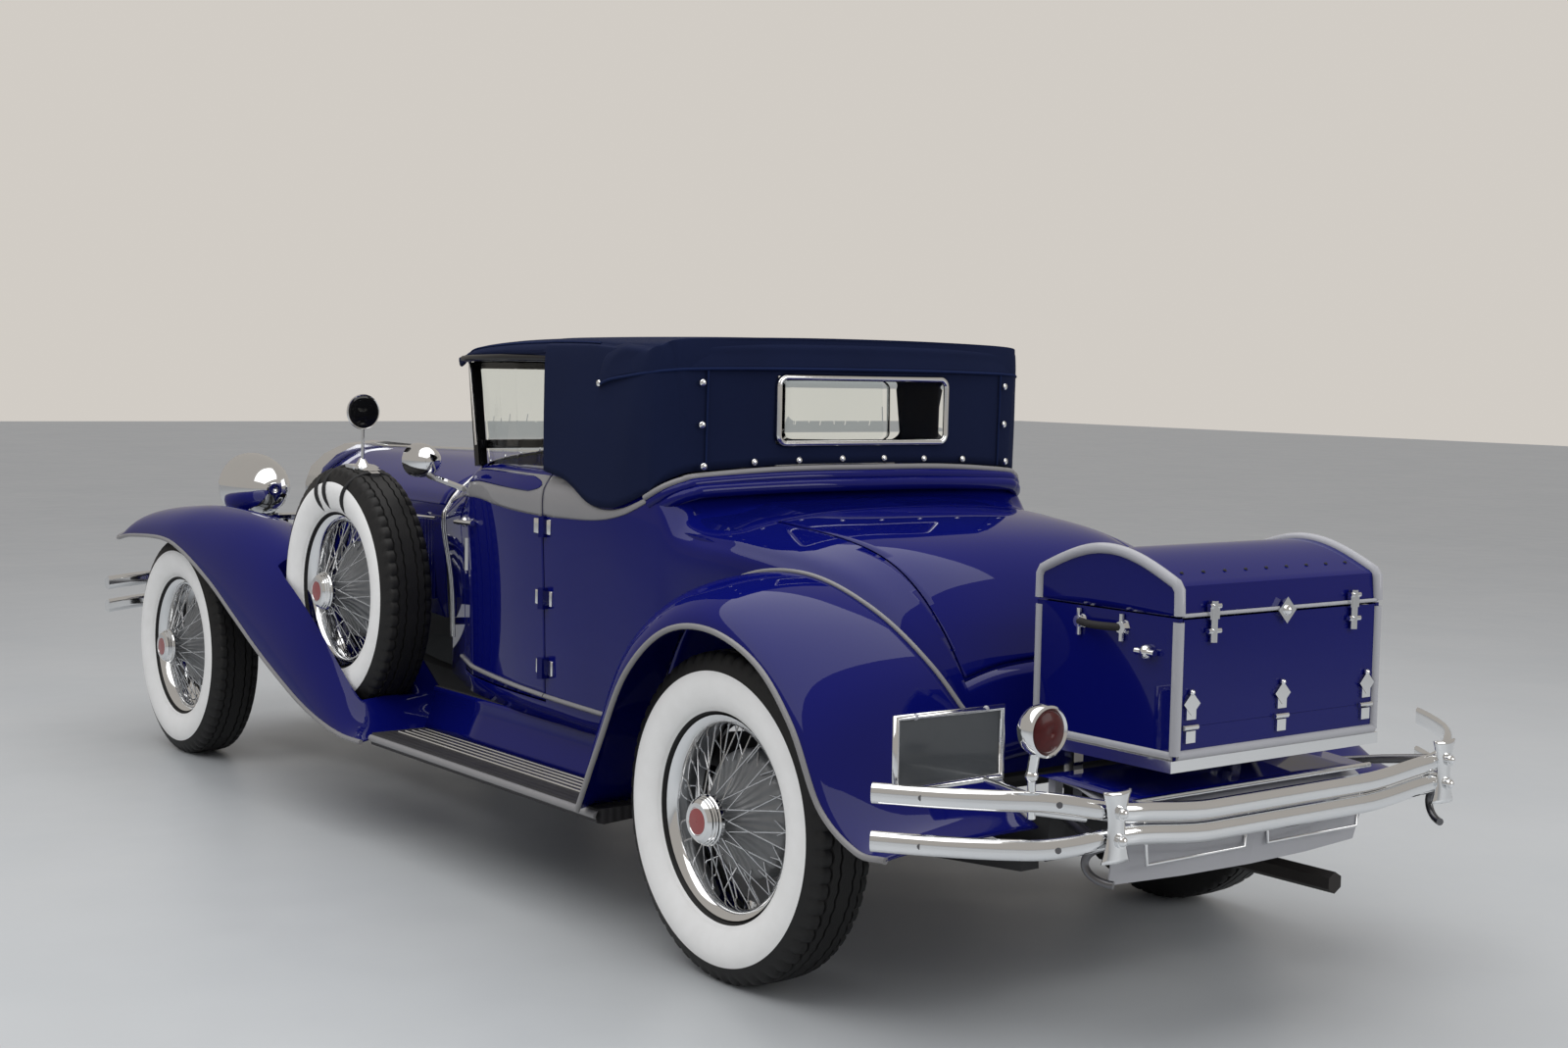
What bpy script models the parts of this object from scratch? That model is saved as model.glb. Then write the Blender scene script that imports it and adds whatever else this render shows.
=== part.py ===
"""Vintage front-wheel-drive convertible with a closed soft top, a rumble seat and a rear trunk.

Metres, +Z up. The nose points to -Y and the car's left side is +X. The numbers are drawn with the
rear axle at y = 0 and the floor at z = 0; CENTRE_SHIFT then moves the car along Y, so that its
bumpers lie evenly about the origin.
"""
import math

import bmesh
import bpy
from mathutils import Vector

# Driving dimensions of the whole car
WHEELBASE = 3.4925
FRONT_TRACK = 1.490
REAR_TRACK = 1.508
# The outermost faces of the bumpers' clamps, which the car is centred between
BUMPER_FRONT_Y = -4.262
BUMPER_REAR_Y = 1.046
CENTRE_SHIFT = -(BUMPER_FRONT_Y + BUMPER_REAR_Y) / 2
GAP = 0.0003
PANEL_GAP = 0.006

# Tyres and wire wheels
TYRE_RADIUS = 0.402
TYRE_WIDTH = 0.190
RIM_RADIUS = 0.246
RIM_WIDTH = 0.118
RIM_DROP = 0.020
HUB_RADIUS = 0.062
HUB_BACK = 0.060
HUB_FACE = 0.142
DRUM_RADIUS = 0.150
SPOKE_RADIUS = 0.0045
SPOKE_PAIRS = 5
ROUND_SIDES = 24

# Body shell
WALL = 0.045
SKIN = 0.004
FLOOR_Z = 0.460
REAR_FLOOR_Z = 0.640
COWL_FRONT_Y = -2.060
SCREEN_Y = -1.632
CABIN_REAR_Y = -0.560
DOOR_FRONT_Y = -1.780
DOOR_REAR_Y = -1.120
DOOR_SILL_Z = 0.515
DOOR_BEVEL = 0.0125
HINGE_LINE_X = 0.668
HINGE_LINE_Y = -1.110
DOOR_HINGE_Z = (1.015, 0.810, 0.610)
HINGE_HALF_HEIGHT = 0.030
LID_REST_STEP = 0.012
LID_REST_Z = 1.0609
BARREL_RADIUS = 0.0137
ARCH_CLEARANCE = 0.012
WINDOW_FRONT_Y = -1.586
WINDOW_REAR_Y = -1.142
SIDE_GLASS_TOP_Z = 1.478
GLASS_THICK = 0.005
BELT_Z = 1.165

# Bonnet and radiator
RADIATOR_Y = -3.450
RADIATOR_DEPTH = 0.110
BONNET_SPLIT_Z = 0.985
BONNET_THICK = 0.008
HINGE_RADIUS = 0.0083

# Fenders, measured along their outer beads
REAR_BEAD_X = 0.900
FRONT_BEAD_X = 0.880

# Running boards between the fenders
BOARD_TOP_Z = 0.330
BOARD_FRONT_Y = -1.8275
BOARD_REAR_Y = -0.520

# Spare wheels in the front fenders
SPARE_X = 0.690
SPARE_Y = -2.262
SPARE_Z = 0.726

# Lamps and mirrors
HEADLAMP_RADIUS = 0.125
COWL_LAMP_RADIUS = 0.053
COWL_BAND_Y = -1.735
COWL_BAND_WIDTH = 0.040
MIRROR_RADIUS = 0.056
PLATE_Y = 0.704

# Bumpers
BUMPER_HALF = 0.950
BUMPER_Z = 0.546
CLAMP_HALF = 0.016
CLAMP_X = 0.5895 * BUMPER_HALF
FRONT_CLAMP_X = 0.460
TAIL_LAMP_X = CLAMP_X + 0.151975
PLATE_X = CLAMP_X + 0.129975

# Chassis rails and exhaust
RAIL_X = 0.400
RAIL_WIDTH = 0.050
RAIL_HEIGHT = 0.110
REAR_SPRING_X = 0.500
EXHAUST_X = -0.260
EXHAUST_Z = 0.300

# Engine block and the drive unit ahead of it
ENGINE_HALF = 0.19
ENGINE_REAR_Y = -2.28
ENGINE_TOP_Z = 0.900
DRIVE_REAR_Y = -2.95
DRIVE_Z = 0.425

# Trunk on its rack
TRUNK_HALF_WIDTH = 0.342
TRUNK_FRONT_Y = 0.560
TRUNK_REAR_Y = 0.990
TRUNK_FLOOR_Z = 0.654
TRUNK_LID_Z = 0.960
TRUNK_TOP_Z = 1.093
TRUNK_DROP_Z = 0.724
TRUNK_WALL = 0.012

BLUE = (0.010, 0.016, 0.190)
NAVY = (0.012, 0.018, 0.050)
CHROME = (0.80, 0.80, 0.82)
GREY = (0.35, 0.35, 0.37)
BLACK = (0.02, 0.02, 0.02)
TAN = (0.12, 0.10, 0.09)
GLASS = (0.75, 0.80, 0.82)
RED = (0.25, 0.01, 0.02)

for old in list(bpy.data.objects):
    bpy.data.objects.remove(old)


def finish(name, bm, colour, roughness=0.4, metallic=0.0, origin=(0, 0, 0), angle=35):
    """Turn a bmesh into a named object whose origin lies at the given point."""
    bmesh.ops.triangulate(bm, faces=[face for face in bm.faces if len(face.verts) == 4],
                          quad_method='FIXED')
    bmesh.ops.recalc_face_normals(bm, faces=bm.faces)
    bmesh.ops.translate(bm, verts=bm.verts, vec=-Vector(origin))
    mesh = bpy.data.meshes.new(name)
    bm.to_mesh(mesh)
    bm.free()
    mesh.shade_smooth()
    mesh.set_sharp_from_angle(angle=math.radians(angle))
    paint = bpy.data.materials.new(name)
    paint.use_nodes = True
    shader = paint.node_tree.nodes["Principled BSDF"]
    shader.inputs["Base Color"].default_value = (*colour, 1)
    shader.inputs["Roughness"].default_value = roughness
    shader.inputs["Metallic"].default_value = metallic
    mesh.materials.append(paint)
    piece = bpy.data.objects.new(name, mesh)
    bpy.context.collection.objects.link(piece)
    piece.location = Vector(origin) + Vector((0, CENTRE_SHIFT, 0))
    return piece


def guide(name, bm):
    """A hidden cutter, placed like every other object."""
    cutter = finish(name, bm, BLACK)
    cutter.hide_render = True
    cutter.display_type = 'WIRE'
    return cutter


def combine(piece, other, operation):
    """Add a Boolean modifier to a piece."""
    step = piece.modifiers.new(operation.title(), 'BOOLEAN')
    step.operation = operation
    step.solver = 'EXACT'
    step.object = other


def grid_sheet(bm, outer, inner):
    """A thick sheet between two grids of points, closed along its four edges."""
    rows, cols = len(outer), len(outer[0])
    a = [[bm.verts.new(p) for p in row] for row in outer]
    b = [[bm.verts.new(p) for p in row] for row in inner]
    for i in range(rows - 1):
        for j in range(cols - 1):
            bm.faces.new((a[i][j], a[i][j + 1], a[i + 1][j + 1], a[i + 1][j]))
            bm.faces.new((b[i][j], b[i + 1][j], b[i + 1][j + 1], b[i][j + 1]))
    for j in range(cols - 1):
        bm.faces.new((a[0][j], b[0][j], b[0][j + 1], a[0][j + 1]))
        bm.faces.new((a[-1][j], a[-1][j + 1], b[-1][j + 1], b[-1][j]))
    for i in range(rows - 1):
        bm.faces.new((a[i][0], a[i + 1][0], b[i + 1][0], b[i][0]))
        bm.faces.new((a[i][-1], b[i][-1], b[i + 1][-1], a[i + 1][-1]))


def offset_grid(grid, thickness):
    """The grid moved along its own normals."""
    rows, cols = len(grid), len(grid[0])
    moved = []
    for i in range(rows):
        line = []
        for j in range(cols):
            along = Vector(grid[min(i + 1, rows - 1)][j]) - Vector(grid[max(i - 1, 0)][j])
            across = Vector(grid[i][min(j + 1, cols - 1)]) - Vector(grid[i][max(j - 1, 0)])
            line.append(Vector(grid[i][j]) + along.cross(across).normalized() * thickness)
        moved.append(line)
    return moved


def ring_loft(bm, rings):
    """A closed solid through rings of points, with a flat cap on each end."""
    loops = [[bm.verts.new(p) for p in ring] for ring in rings]
    count = len(loops[0])
    for low, high in zip(loops, loops[1:]):
        for j in range(count):
            k = (j + 1) % count
            bm.faces.new((low[j], low[k], high[k], high[j]))
    bm.faces.new(loops[0][::-1])
    bm.faces.new(loops[-1])


def turned(bm, profile, sides, centre, axis='X', closed=False):
    """Revolve (along, radius) points about an axis through the centre."""
    loops = []
    for along, radius in profile:
        loop = []
        for k in range(sides):
            angle = 2 * math.pi * k / sides
            u, v = radius * math.cos(angle), radius * math.sin(angle)
            offset = {'X': (along, u, v), 'Y': (u, along, v), 'Z': (u, v, along)}[axis]
            loop.append(bm.verts.new(Vector(centre) + Vector(offset)))
        loops.append(loop)
    pairs = list(zip(loops, loops[1:]))
    if closed:
        pairs.append((loops[-1], loops[0]))
    for low, high in pairs:
        for j in range(sides):
            k = (j + 1) % sides
            bm.faces.new((low[j], low[k], high[k], high[j]))
    if not closed:
        bm.faces.new(loops[0][::-1])
        bm.faces.new(loops[-1])


def rod(bm, start, end, radius, sides=8):
    """A round bar between two points."""
    start, end = Vector(start), Vector(end)
    turn = (end - start).to_track_quat('Z', 'Y').to_matrix()
    rings = []
    for point in (start, end):
        ring = []
        for k in range(sides):
            angle = 2 * math.pi * (k + 0.5) / sides
            ring.append(point + turn @ Vector((radius * math.cos(angle), radius * math.sin(angle), 0)))
        rings.append(ring)
    ring_loft(bm, rings)


def swept(bm, path, section, up=(0, 0, 1)):
    """A bar of the given (side, height) section along a path of points."""
    path = [Vector(p) for p in path]
    rings = []
    for i, point in enumerate(path):
        along = (path[min(i + 1, len(path) - 1)] - path[max(i - 1, 0)]).normalized()
        side = along.cross(Vector(up)).normalized()
        rise = side.cross(along)
        rings.append([point + side * s + rise * h for s, h in section])
    ring_loft(bm, rings)


def block(bm, low, high):
    """A box between two corners."""
    (x0, y0, z0), (x1, y1, z1) = low, high
    ring = [(x0, y0), (x1, y0), (x1, y1), (x0, y1)]
    ring_loft(bm, [[(x, y, z) for x, y in ring] for z in (z0, z1)])


def prism(bm, outline, low, high, axis='X'):
    """An outline in the plane across the axis, extruded from low to high."""
    place = {'X': lambda a, b, s: (s, a, b), 'Y': lambda a, b, s: (a, s, b),
             'Z': lambda a, b, s: (a, b, s)}[axis]
    ring_loft(bm, [[place(a, b, s) for a, b in outline] for s in (low, high)])


def box_section(width, height):
    """Corner points of a rectangle centred on a path."""
    return [(-width / 2, -height / 2), (width / 2, -height / 2),
            (width / 2, height / 2), (-width / 2, height / 2)]


def blend_at(table, y):
    """Read a table of (y, value, value ...) rows at y, on straight lines between its rows."""
    if y <= table[0][0]:
        return table[0][1:]
    for low, high in zip(table, table[1:]):
        if y <= high[0]:
            t = (y - low[0]) / (high[0] - low[0])
            return tuple(a + (b - a) * t for a, b in zip(low[1:], high[1:]))
    return table[-1][1:]


def joined(name, bodies, colour, roughness=0.4, metallic=0.0, origin=(0, 0, 0)):
    """One object from overlapping solids, fused by Boolean unions."""
    pieces = [finish(name if i == 0 else name + "_part%d" % i, bm, colour, roughness, metallic, origin)
              for i, bm in enumerate(bodies)]
    for other in pieces[1:]:
        other.hide_render = True
        other.display_type = 'WIRE'
        combine(pieces[0], other, 'UNION')
    return pieces[0]


# The body's stations from cowl to tail: y, half width at the belt, half width at the sill,
# height of the floor, of the shoulder and of the middle of the top
BODY_STATIONS = [
    (COWL_FRONT_Y, 0.480, 0.440, FLOOR_Z, 1.020, 1.178),
    (COWL_BAND_Y, 0.577, 0.557, FLOOR_Z, 1.110, 1.206),
    (COWL_BAND_Y + COWL_BAND_WIDTH, 0.588, 0.571, FLOOR_Z, 1.129, 1.2095),
    (SCREEN_Y, 0.605, 0.590, FLOOR_Z, BELT_Z - 0.005, 1.215),
    (-1.350, 0.645, 0.630, FLOOR_Z, BELT_Z, 1.215),
    (-1.100, 0.660, 0.645, FLOOR_Z, BELT_Z, 1.215),
    (-0.800, 0.662, 0.645, FLOOR_Z, BELT_Z, 1.215),
    (CABIN_REAR_Y, 0.650, 0.640, FLOOR_Z + 0.060, 1.150, 1.205),
    (-0.480, 0.645, 0.630, FLOOR_Z + 0.160, 1.060, 1.125),
    (-0.250, 0.625, 0.610, REAR_FLOOR_Z, 1.030, 1.105),
    (0.000, 0.590, 0.580, REAR_FLOOR_Z, 0.995, 1.080),
    (0.150, 0.560, 0.555, REAR_FLOOR_Z, 0.950, 1.035),
    (0.270, 0.530, 0.530, REAR_FLOOR_Z, 0.870, 0.945),
    (0.380, 0.495, 0.500, REAR_FLOOR_Z - 0.050, 0.740, 0.800),
    (0.440, 0.470, 0.475, REAR_FLOOR_Z - 0.080, 0.620, 0.660),
    (0.470, 0.450, 0.455, REAR_FLOOR_Z - 0.100, 0.560, 0.580),
]


def body_ring(y, inset):
    """A closed ring of the body at y, drawn inwards by inset."""
    belt, sill, floor, shoulder, crown = blend_at(BODY_STATIONS, y)
    side = shoulder - floor
    top = crown - shoulder
    half = [(sill, floor), (sill + 0.008, floor + 0.50 * side), (belt, floor + 0.86 * side),
            (belt - 0.018, floor + 0.97 * side), (belt - 0.075, shoulder + 0.30 * top),
            (belt * 0.55, shoulder + 0.84 * top), (0.0, crown)]
    shrink = (crown - floor - 2 * inset) / (crown - floor)
    half = [(x - inset * min(1.0, x / 0.4), floor + inset + (z - floor) * shrink) for x, z in half]
    mirrored = [(-x, z) for x, z in half[:-1]][::-1]
    return [(x, y, z) for x, z in half + mirrored]


def body_solid(inset, front, rear):
    """The body's outer or inner volume between two stations."""
    bm = bmesh.new()
    stations = [front] + [row[0] for row in BODY_STATIONS if front < row[0] < rear] + [rear]
    ring_loft(bm, [body_ring(y, inset) for y in stations])
    return bm


def door_outline(grow, top):
    """The door's outline in (y, z), grown by the gap around it; its top front corner ducks under the cowl."""
    front, rear, sill = DOOR_FRONT_Y - grow, DOOR_REAR_Y + grow, DOOR_SILL_Z - grow
    return [(front, sill), (rear, sill), (rear, top), (SCREEN_Y + 0.042 - grow, top),
            (SCREEN_Y + 0.042 - grow, BELT_Z), (SCREEN_Y - 0.008 - grow, BELT_Z - 0.065 + grow),
            (front, BELT_Z - 0.175 + grow)]


LID_FRONT_Y = -0.280
LID_REAR_Y = 0.385
LID_FRONT_HALF = 0.450
LID_REAR_HALF = 0.400


def lid_outline(grow):
    """The rumble lid's outline in plan."""
    return [(-LID_FRONT_HALF - grow, LID_FRONT_Y - grow), (LID_FRONT_HALF + grow, LID_FRONT_Y - grow),
            (LID_REAR_HALF + grow, LID_REAR_Y + grow), (-LID_REAR_HALF - grow, LID_REAR_Y + grow)]


def body_tub():
    """Cowl, sills, floor, quarters and rear deck as one hollow shell with its openings cut."""
    front, rear = BODY_STATIONS[0][0], BODY_STATIONS[-1][0]
    tub = finish("body_tub", body_solid(0.0, front, rear), BLUE, 0.15)
    hollow = guide("body_hollow", body_solid(WALL, front + 0.025, rear - 0.070))
    combine(tub, hollow, 'DIFFERENCE')
    bm = bmesh.new()
    prism(bm, [(SCREEN_Y + 0.055, 1.0), (CABIN_REAR_Y - 0.030, 1.0), (CABIN_REAR_Y - 0.030, 1.5),
               (SCREEN_Y + 0.055, 1.5)], -0.55, 0.55)
    opening = guide("cabin_opening", bm)
    combine(tub, opening, 'DIFFERENCE')
    for side, sign in (("left", 1), ("right", -1)):
        bm = bmesh.new()
        prism(bm, door_outline(PANEL_GAP, 1.5), *sorted((sign * 0.40, sign * 0.80)))
        combine(tub, guide("door_hole_" + side, bm), 'DIFFERENCE')
    bm = bmesh.new()
    prism(bm, lid_outline(PANEL_GAP), 0.70, 1.5, 'Z')
    combine(tub, guide("rumble_hole", bm), 'DIFFERENCE')
    rest = bmesh.new()
    front = LID_FRONT_Y
    step, back = LID_REST_STEP, front - 0.060
    prism(rest, [(back, 1.045), (front + step, 1.045), (front + step, LID_REST_Z),
                 (front - step, LID_REST_Z), (front - step, 1.075), (back, 1.075)], -0.020, 0.020)
    combine(tub, guide("lid_rest", rest), 'UNION')
    for side, sign in (("left", 1), ("right", -1)):
        for k, z in enumerate(DOOR_HINGE_Z):
            r = BARREL_RADIUS
            leaf = [(-0.030, -0.002), (-0.71 * r, -0.71 * r), (0.35 * r, -0.94 * r), (r, 0.0),
                    (0.35 * r, 0.94 * r), (-0.030, 0.94 * r)]
            bm = bmesh.new()
            outline = [(sign * (HINGE_LINE_X + x), HINGE_LINE_Y + y) for x, y in leaf]
            prism(bm, outline, z - HINGE_HALF_HEIGHT, z + HINGE_HALF_HEIGHT, 'Z')
            combine(tub, guide("door_barrel_%s_%d" % (side, k), bm), 'UNION')
        bm = bmesh.new()
        face = REAR_TRACK / 2 - TYRE_WIDTH / 2 - ARCH_CLEARANCE
        turned(bm, [(face, TYRE_RADIUS + ARCH_CLEARANCE), (face + 0.600, TYRE_RADIUS + ARCH_CLEARANCE)], 12,
               (0, 0, TYRE_RADIUS))
        if sign < 0:
            bmesh.ops.scale(bm, vec=(-1, 1, 1), verts=bm.verts)
            bmesh.ops.reverse_faces(bm, faces=bm.faces)
        combine(tub, guide("wheel_arch_" + side, bm), 'DIFFERENCE')
    return hollow


def doors(hollow):
    """Doors cut from the same surface as the body, hinged at their rear edges."""
    front, rear = DOOR_FRONT_Y - 0.15, DOOR_REAR_Y + 0.15
    for side, sign in (("left", 1), ("right", -1)):
        hinge = (sign * HINGE_LINE_X, HINGE_LINE_Y, 0.8)
        door = finish("door_" + side, body_solid(0.0, front, rear), BLUE, 0.15, 0.0, hinge)
        bm = bmesh.new()
        prism(bm, door_outline(0.0, BELT_Z + 0.010), *sorted((sign * 0.40, sign * 0.80)))
        combine(door, guide("door_piece_" + side, bm), 'INTERSECT')
        bm = bmesh.new()
        prism(bm, [(sign * x, y) for x, y in ((0.8, front), (0.8, rear), (0.600, rear), (0.600, -1.10),
                                             (0.585, -1.35), (0.545, -1.62),
                                             (0.475, DOOR_FRONT_Y + DOOR_BEVEL), (0.570, DOOR_FRONT_Y),
                                             (0.570, front))], 0.4, 1.3, 'Z')
        combine(door, guide("door_depth_" + side, bm), 'INTERSECT')
        combine(door, hollow, 'DIFFERENCE')


def door_windows():
    """Raised side windows standing on the doors, flat sheets that lean in towards the roof."""
    steps = 5
    for side, sign in (("left", 1), ("right", -1)):
        outer, inner = [], []
        for i in range(steps):
            t = i / (steps - 1)
            foot_y = WINDOW_FRONT_Y + (WINDOW_REAR_Y - WINDOW_FRONT_Y) * t
            top_y = foot_y - 0.064 * (1 - t)
            belt, sill, floor, shoulder, crown = blend_at(BODY_STATIONS, foot_y)
            wall_z = floor + 0.97 * (shoulder - floor)
            share = (0.038 + GLASS_THICK - 0.018) / 0.057
            foot_z = wall_z + share * (shoulder + 0.30 * (crown - shoulder) - wall_z) + 0.0014
            foot_x = belt - 0.038
            row = [Vector((foot_x, foot_y, foot_z)), Vector((foot_x - 0.018 * t, top_y, SIDE_GLASS_TOP_Z))]
            outer.append([Vector((sign * p.x, p.y, p.z)) for p in row])
            inner.append([Vector((sign * (p.x - GLASS_THICK), p.y, p.z)) for p in row])
        bm = bmesh.new()
        grid_sheet(bm, outer, inner)
        finish("door_glass_" + side, bm, GLASS, 0.05)


def rumble_lid(hollow):
    """Rumble-seat lid of the rear deck, hinged at its lower rear edge."""
    front, rear = LID_FRONT_Y - 0.02, LID_REAR_Y + 0.05
    hinge = (0.0, LID_REAR_Y - 0.010, 0.790)
    lid = finish("rumble_lid", body_solid(0.0, front, rear), BLUE, 0.15, 0.0, hinge)
    bm = bmesh.new()
    prism(bm, lid_outline(0.0), 0.70, 1.5, 'Z')
    combine(lid, guide("lid_piece", bm), 'INTERSECT')
    combine(lid, hollow, 'DIFFERENCE')


# The bonnet's half outline at the radiator and at the cowl: (x, z) from the centre hinge outwards
BONNET_FRONT = [(0.0086, 1.140), (0.110, 1.125), (0.190, 1.085), (0.245, 1.035), (0.270, BONNET_SPLIT_Z)]
BONNET_REAR = [(0.0086, 1.172), (0.200, 1.150), (0.350, 1.105), (0.440, 1.055), (0.472, 1.010)]
BONNET_SIDE_BOTTOM_Z = 0.640


def bonnet():
    """Two top panels on the centre hinge rod, each with a side panel hinged along its outer edge."""
    front, rear = RADIATOR_Y + PANEL_GAP, COWL_FRONT_Y - PANEL_GAP
    steps = 5
    rodding = bmesh.new()
    rod(rodding, (0, RADIATOR_Y + GAP, BONNET_FRONT[0][1]), (0, COWL_FRONT_Y - GAP, BONNET_REAR[0][1]),
        HINGE_RADIUS, 12)
    finish("bonnet_hinge", rodding, CHROME, 0.2, 1.0)
    for side, sign in (("left", 1), ("right", -1)):
        grid = []
        for i in range(steps):
            t = i / (steps - 1)
            y = front + (rear - front) * t
            grid.append([Vector((sign * (a[0] * (1 - t) + b[0] * t), y, a[1] * (1 - t) + b[1] * t))
                         for a, b in zip(BONNET_FRONT, BONNET_REAR)])
        bm = bmesh.new()
        inner = offset_grid(grid, sign * BONNET_THICK)
        for row in inner:
            share = (row[-1].y - front) / (rear - front)
            row[-1].z = grid[0][-1].z + share * (grid[-1][-1].z - grid[0][-1].z)
        grid_sheet(bm, grid, inner)
        finish("bonnet_top_" + side, bm, BLUE, 0.15, 0.0, (0.0, front, BONNET_FRONT[0][1]))
        low = []
        for row in grid:
            edge = row[-1]
            wide = abs(edge.x)
            low.append([Vector((sign * x, edge.y, z)) for x, z in
                        ((wide, edge.z - 2 * GAP), (wide, 0.85), (wide - 0.012, BONNET_SIDE_BOTTOM_Z))])
        bm = bmesh.new()
        grid_sheet(bm, low, [[p - Vector((sign * BONNET_THICK, 0, 0)) for p in row] for row in low])
        pivot = low[0][0] - Vector((sign * BONNET_THICK, 0, 0))
        finish("bonnet_side_" + side, bm, BLUE, 0.15, 0.0, pivot)


def radiator():
    """Radiator shell with an arched top, its core behind upright shutters."""
    outline = [(0.285, 0.560), (0.285, 1.000), (0.262, 1.060), (0.205, 1.110), (0.120, 1.148), (0.0, 1.160)]
    full = outline + [(-x, z) for x, z in outline[:-1]][::-1]
    front, rear = RADIATOR_Y - RADIATOR_DEPTH, RADIATOR_Y
    shell = bmesh.new()
    prism(shell, full, front, rear, 'Y')
    inner = [(x * 0.87, 0.60 + (z - 0.56) * 0.90) for x, z in full]
    cutter = bmesh.new()
    prism(cutter, inner, front - 0.05, front + 0.045, 'Y')
    piece = finish("radiator_shell", shell, CHROME, 0.1, 1.0)
    combine(piece, guide("radiator_recess", cutter), 'DIFFERENCE')
    bars = bmesh.new()
    for k in range(11):
        x = (k - 5) * 0.044
        prism(bars, [(x - 0.004, front + 0.012), (x + 0.004, front + 0.012),
                     (x + 0.004, front + 0.050), (x - 0.004, front + 0.050)], 0.590,
              1.115 - 0.5 * x * x / 0.25 - 0.03, 'Z')
    bars_piece = guide("radiator_shutters", bars)
    combine(piece, bars_piece, 'UNION')


def smooth_table(points, count):
    """Points read along a smooth curve through the given ones."""
    points = [Vector(p) for p in points]
    result = []
    spans = len(points) - 1
    for k in range(count):
        s = k / (count - 1) * spans
        i = min(int(s), spans - 1)
        t = s - i
        p0, p1 = points[max(i - 1, 0)], points[i]
        p2, p3 = points[i + 1], points[min(i + 2, spans)]
        result.append(0.5 * (2 * p1 + (p2 - p0) * t + (2 * p0 - 5 * p1 + 4 * p2 - p3) * t * t
                             + (3 * p1 - p0 - 3 * p2 + p3) * t ** 3))
    return result


# Rear fender: outer bead and body joint as matched (y, z) points from the running board to the tail
REAR_BEAD = [(-0.531, 0.3304), (-0.432, 0.514), (-0.315, 0.712), (-0.150, 0.837), (0.038, 0.865),
             (0.227, 0.810), (0.364, 0.689), (0.472, 0.522), (0.600, 0.450), (0.700, 0.450)]
REAR_JOINT = [(-0.590, 0.3304), (-0.535, 0.580), (-0.415, 0.815), (-0.210, 0.950), (0.010, 0.978),
              (0.210, 0.915), (0.385, 0.790), (0.500, 0.640), (0.610, 0.520), (0.700, 0.470)]
# Front fender: outer bead, crown and inner edge as matched points from the tip to the running board
FRONT_BEAD = [(-3.960, 0.770), (-3.814, 0.792), (-3.496, 0.805), (-3.296, 0.772), (-3.042, 0.685),
              (-2.829, 0.588), (-2.627, 0.495), (-2.432, 0.417), (-2.273, 0.361), (-2.118, 0.323),
              (-1.969, 0.303), (-1.830, 0.303)]
FRONT_CROWN = [(-3.975, 0.800), (-3.860, 0.880), (-3.500, 0.922), (-3.240, 0.926), (-3.000, 0.905),
               (-2.760, 0.845), (-2.550, 0.760), (-2.350, 0.650), (-2.190, 0.540), (-2.050, 0.440),
               (-1.920, 0.350), (-1.830, 0.318)]


def fender_section(bead, crown, bead_x, crown_x, inner_x, drop):
    """Points across a fender: a quarter round from the bead up to the crown, then down inboard."""
    row = []
    for k in range(5):
        angle = math.pi / 2 * k / 4
        x = crown_x + (bead_x - crown_x) * math.cos(angle)
        mix = math.sin(angle)
        row.append(Vector((x, bead[0] + (crown[0] - bead[0]) * mix, bead[1] + (crown[1] - bead[1]) * mix)))
    if inner_x < crown_x:
        row.append(Vector((inner_x, crown[0], crown[1] - drop)))
    return row


def fenders():
    """Four pressed fenders; the front ones have a well for the spare wheel."""
    for side, sign in (("left", 1), ("right", -1)):
        beads = smooth_table([(0, *p) for p in REAR_BEAD], 15)
        joints = smooth_table([(0, *p) for p in REAR_JOINT], 15)
        grid = []
        for b, j in zip(beads, joints):
            belt, sill = blend_at(BODY_STATIONS, j.y)[:2]
            inner = max(belt, sill) + 0.002
            if j.z < FLOOR_Z:
                inner = 0.668
            grid.append(fender_section(b.yz, j.yz, REAR_BEAD_X, inner, inner, 0))
        grid = [[Vector((sign * p.x, p.y, p.z)) for p in row] for row in grid]
        bm = bmesh.new()
        grid_sheet(bm, grid, offset_grid(grid, sign * SKIN * 1.5))
        finish("fender_rear_" + side, bm, BLUE, 0.15)

        beads = smooth_table([(0, *p) for p in FRONT_BEAD], 18)
        crowns = smooth_table([(0, *p) for p in FRONT_CROWN], 18)
        grid = []
        for b, c in zip(beads, crowns):
            low = max(0.0, min(1.0, (c.z - 0.32) / 0.55))
            grid.append(fender_section(b.yz, c.yz, FRONT_BEAD_X, 0.700, 0.500, 0.06 * low))
        grid = [[Vector((sign * p.x, p.y, p.z)) for p in row] for row in grid]
        bm = bmesh.new()
        grid_sheet(bm, grid, offset_grid(grid, sign * SKIN * 1.5))
        fender = finish("fender_front_" + side, bm, BLUE, 0.15)
        well = bmesh.new()
        half = TYRE_WIDTH / 2 + 2 * GAP
        turned(well, [(-half, TYRE_RADIUS + 2 * GAP), (half, TYRE_RADIUS + 2 * GAP)], ROUND_SIDES,
               (sign * SPARE_X, SPARE_Y, SPARE_Z))
        combine(fender, guide("spare_well_" + side, well), 'DIFFERENCE')


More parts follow.
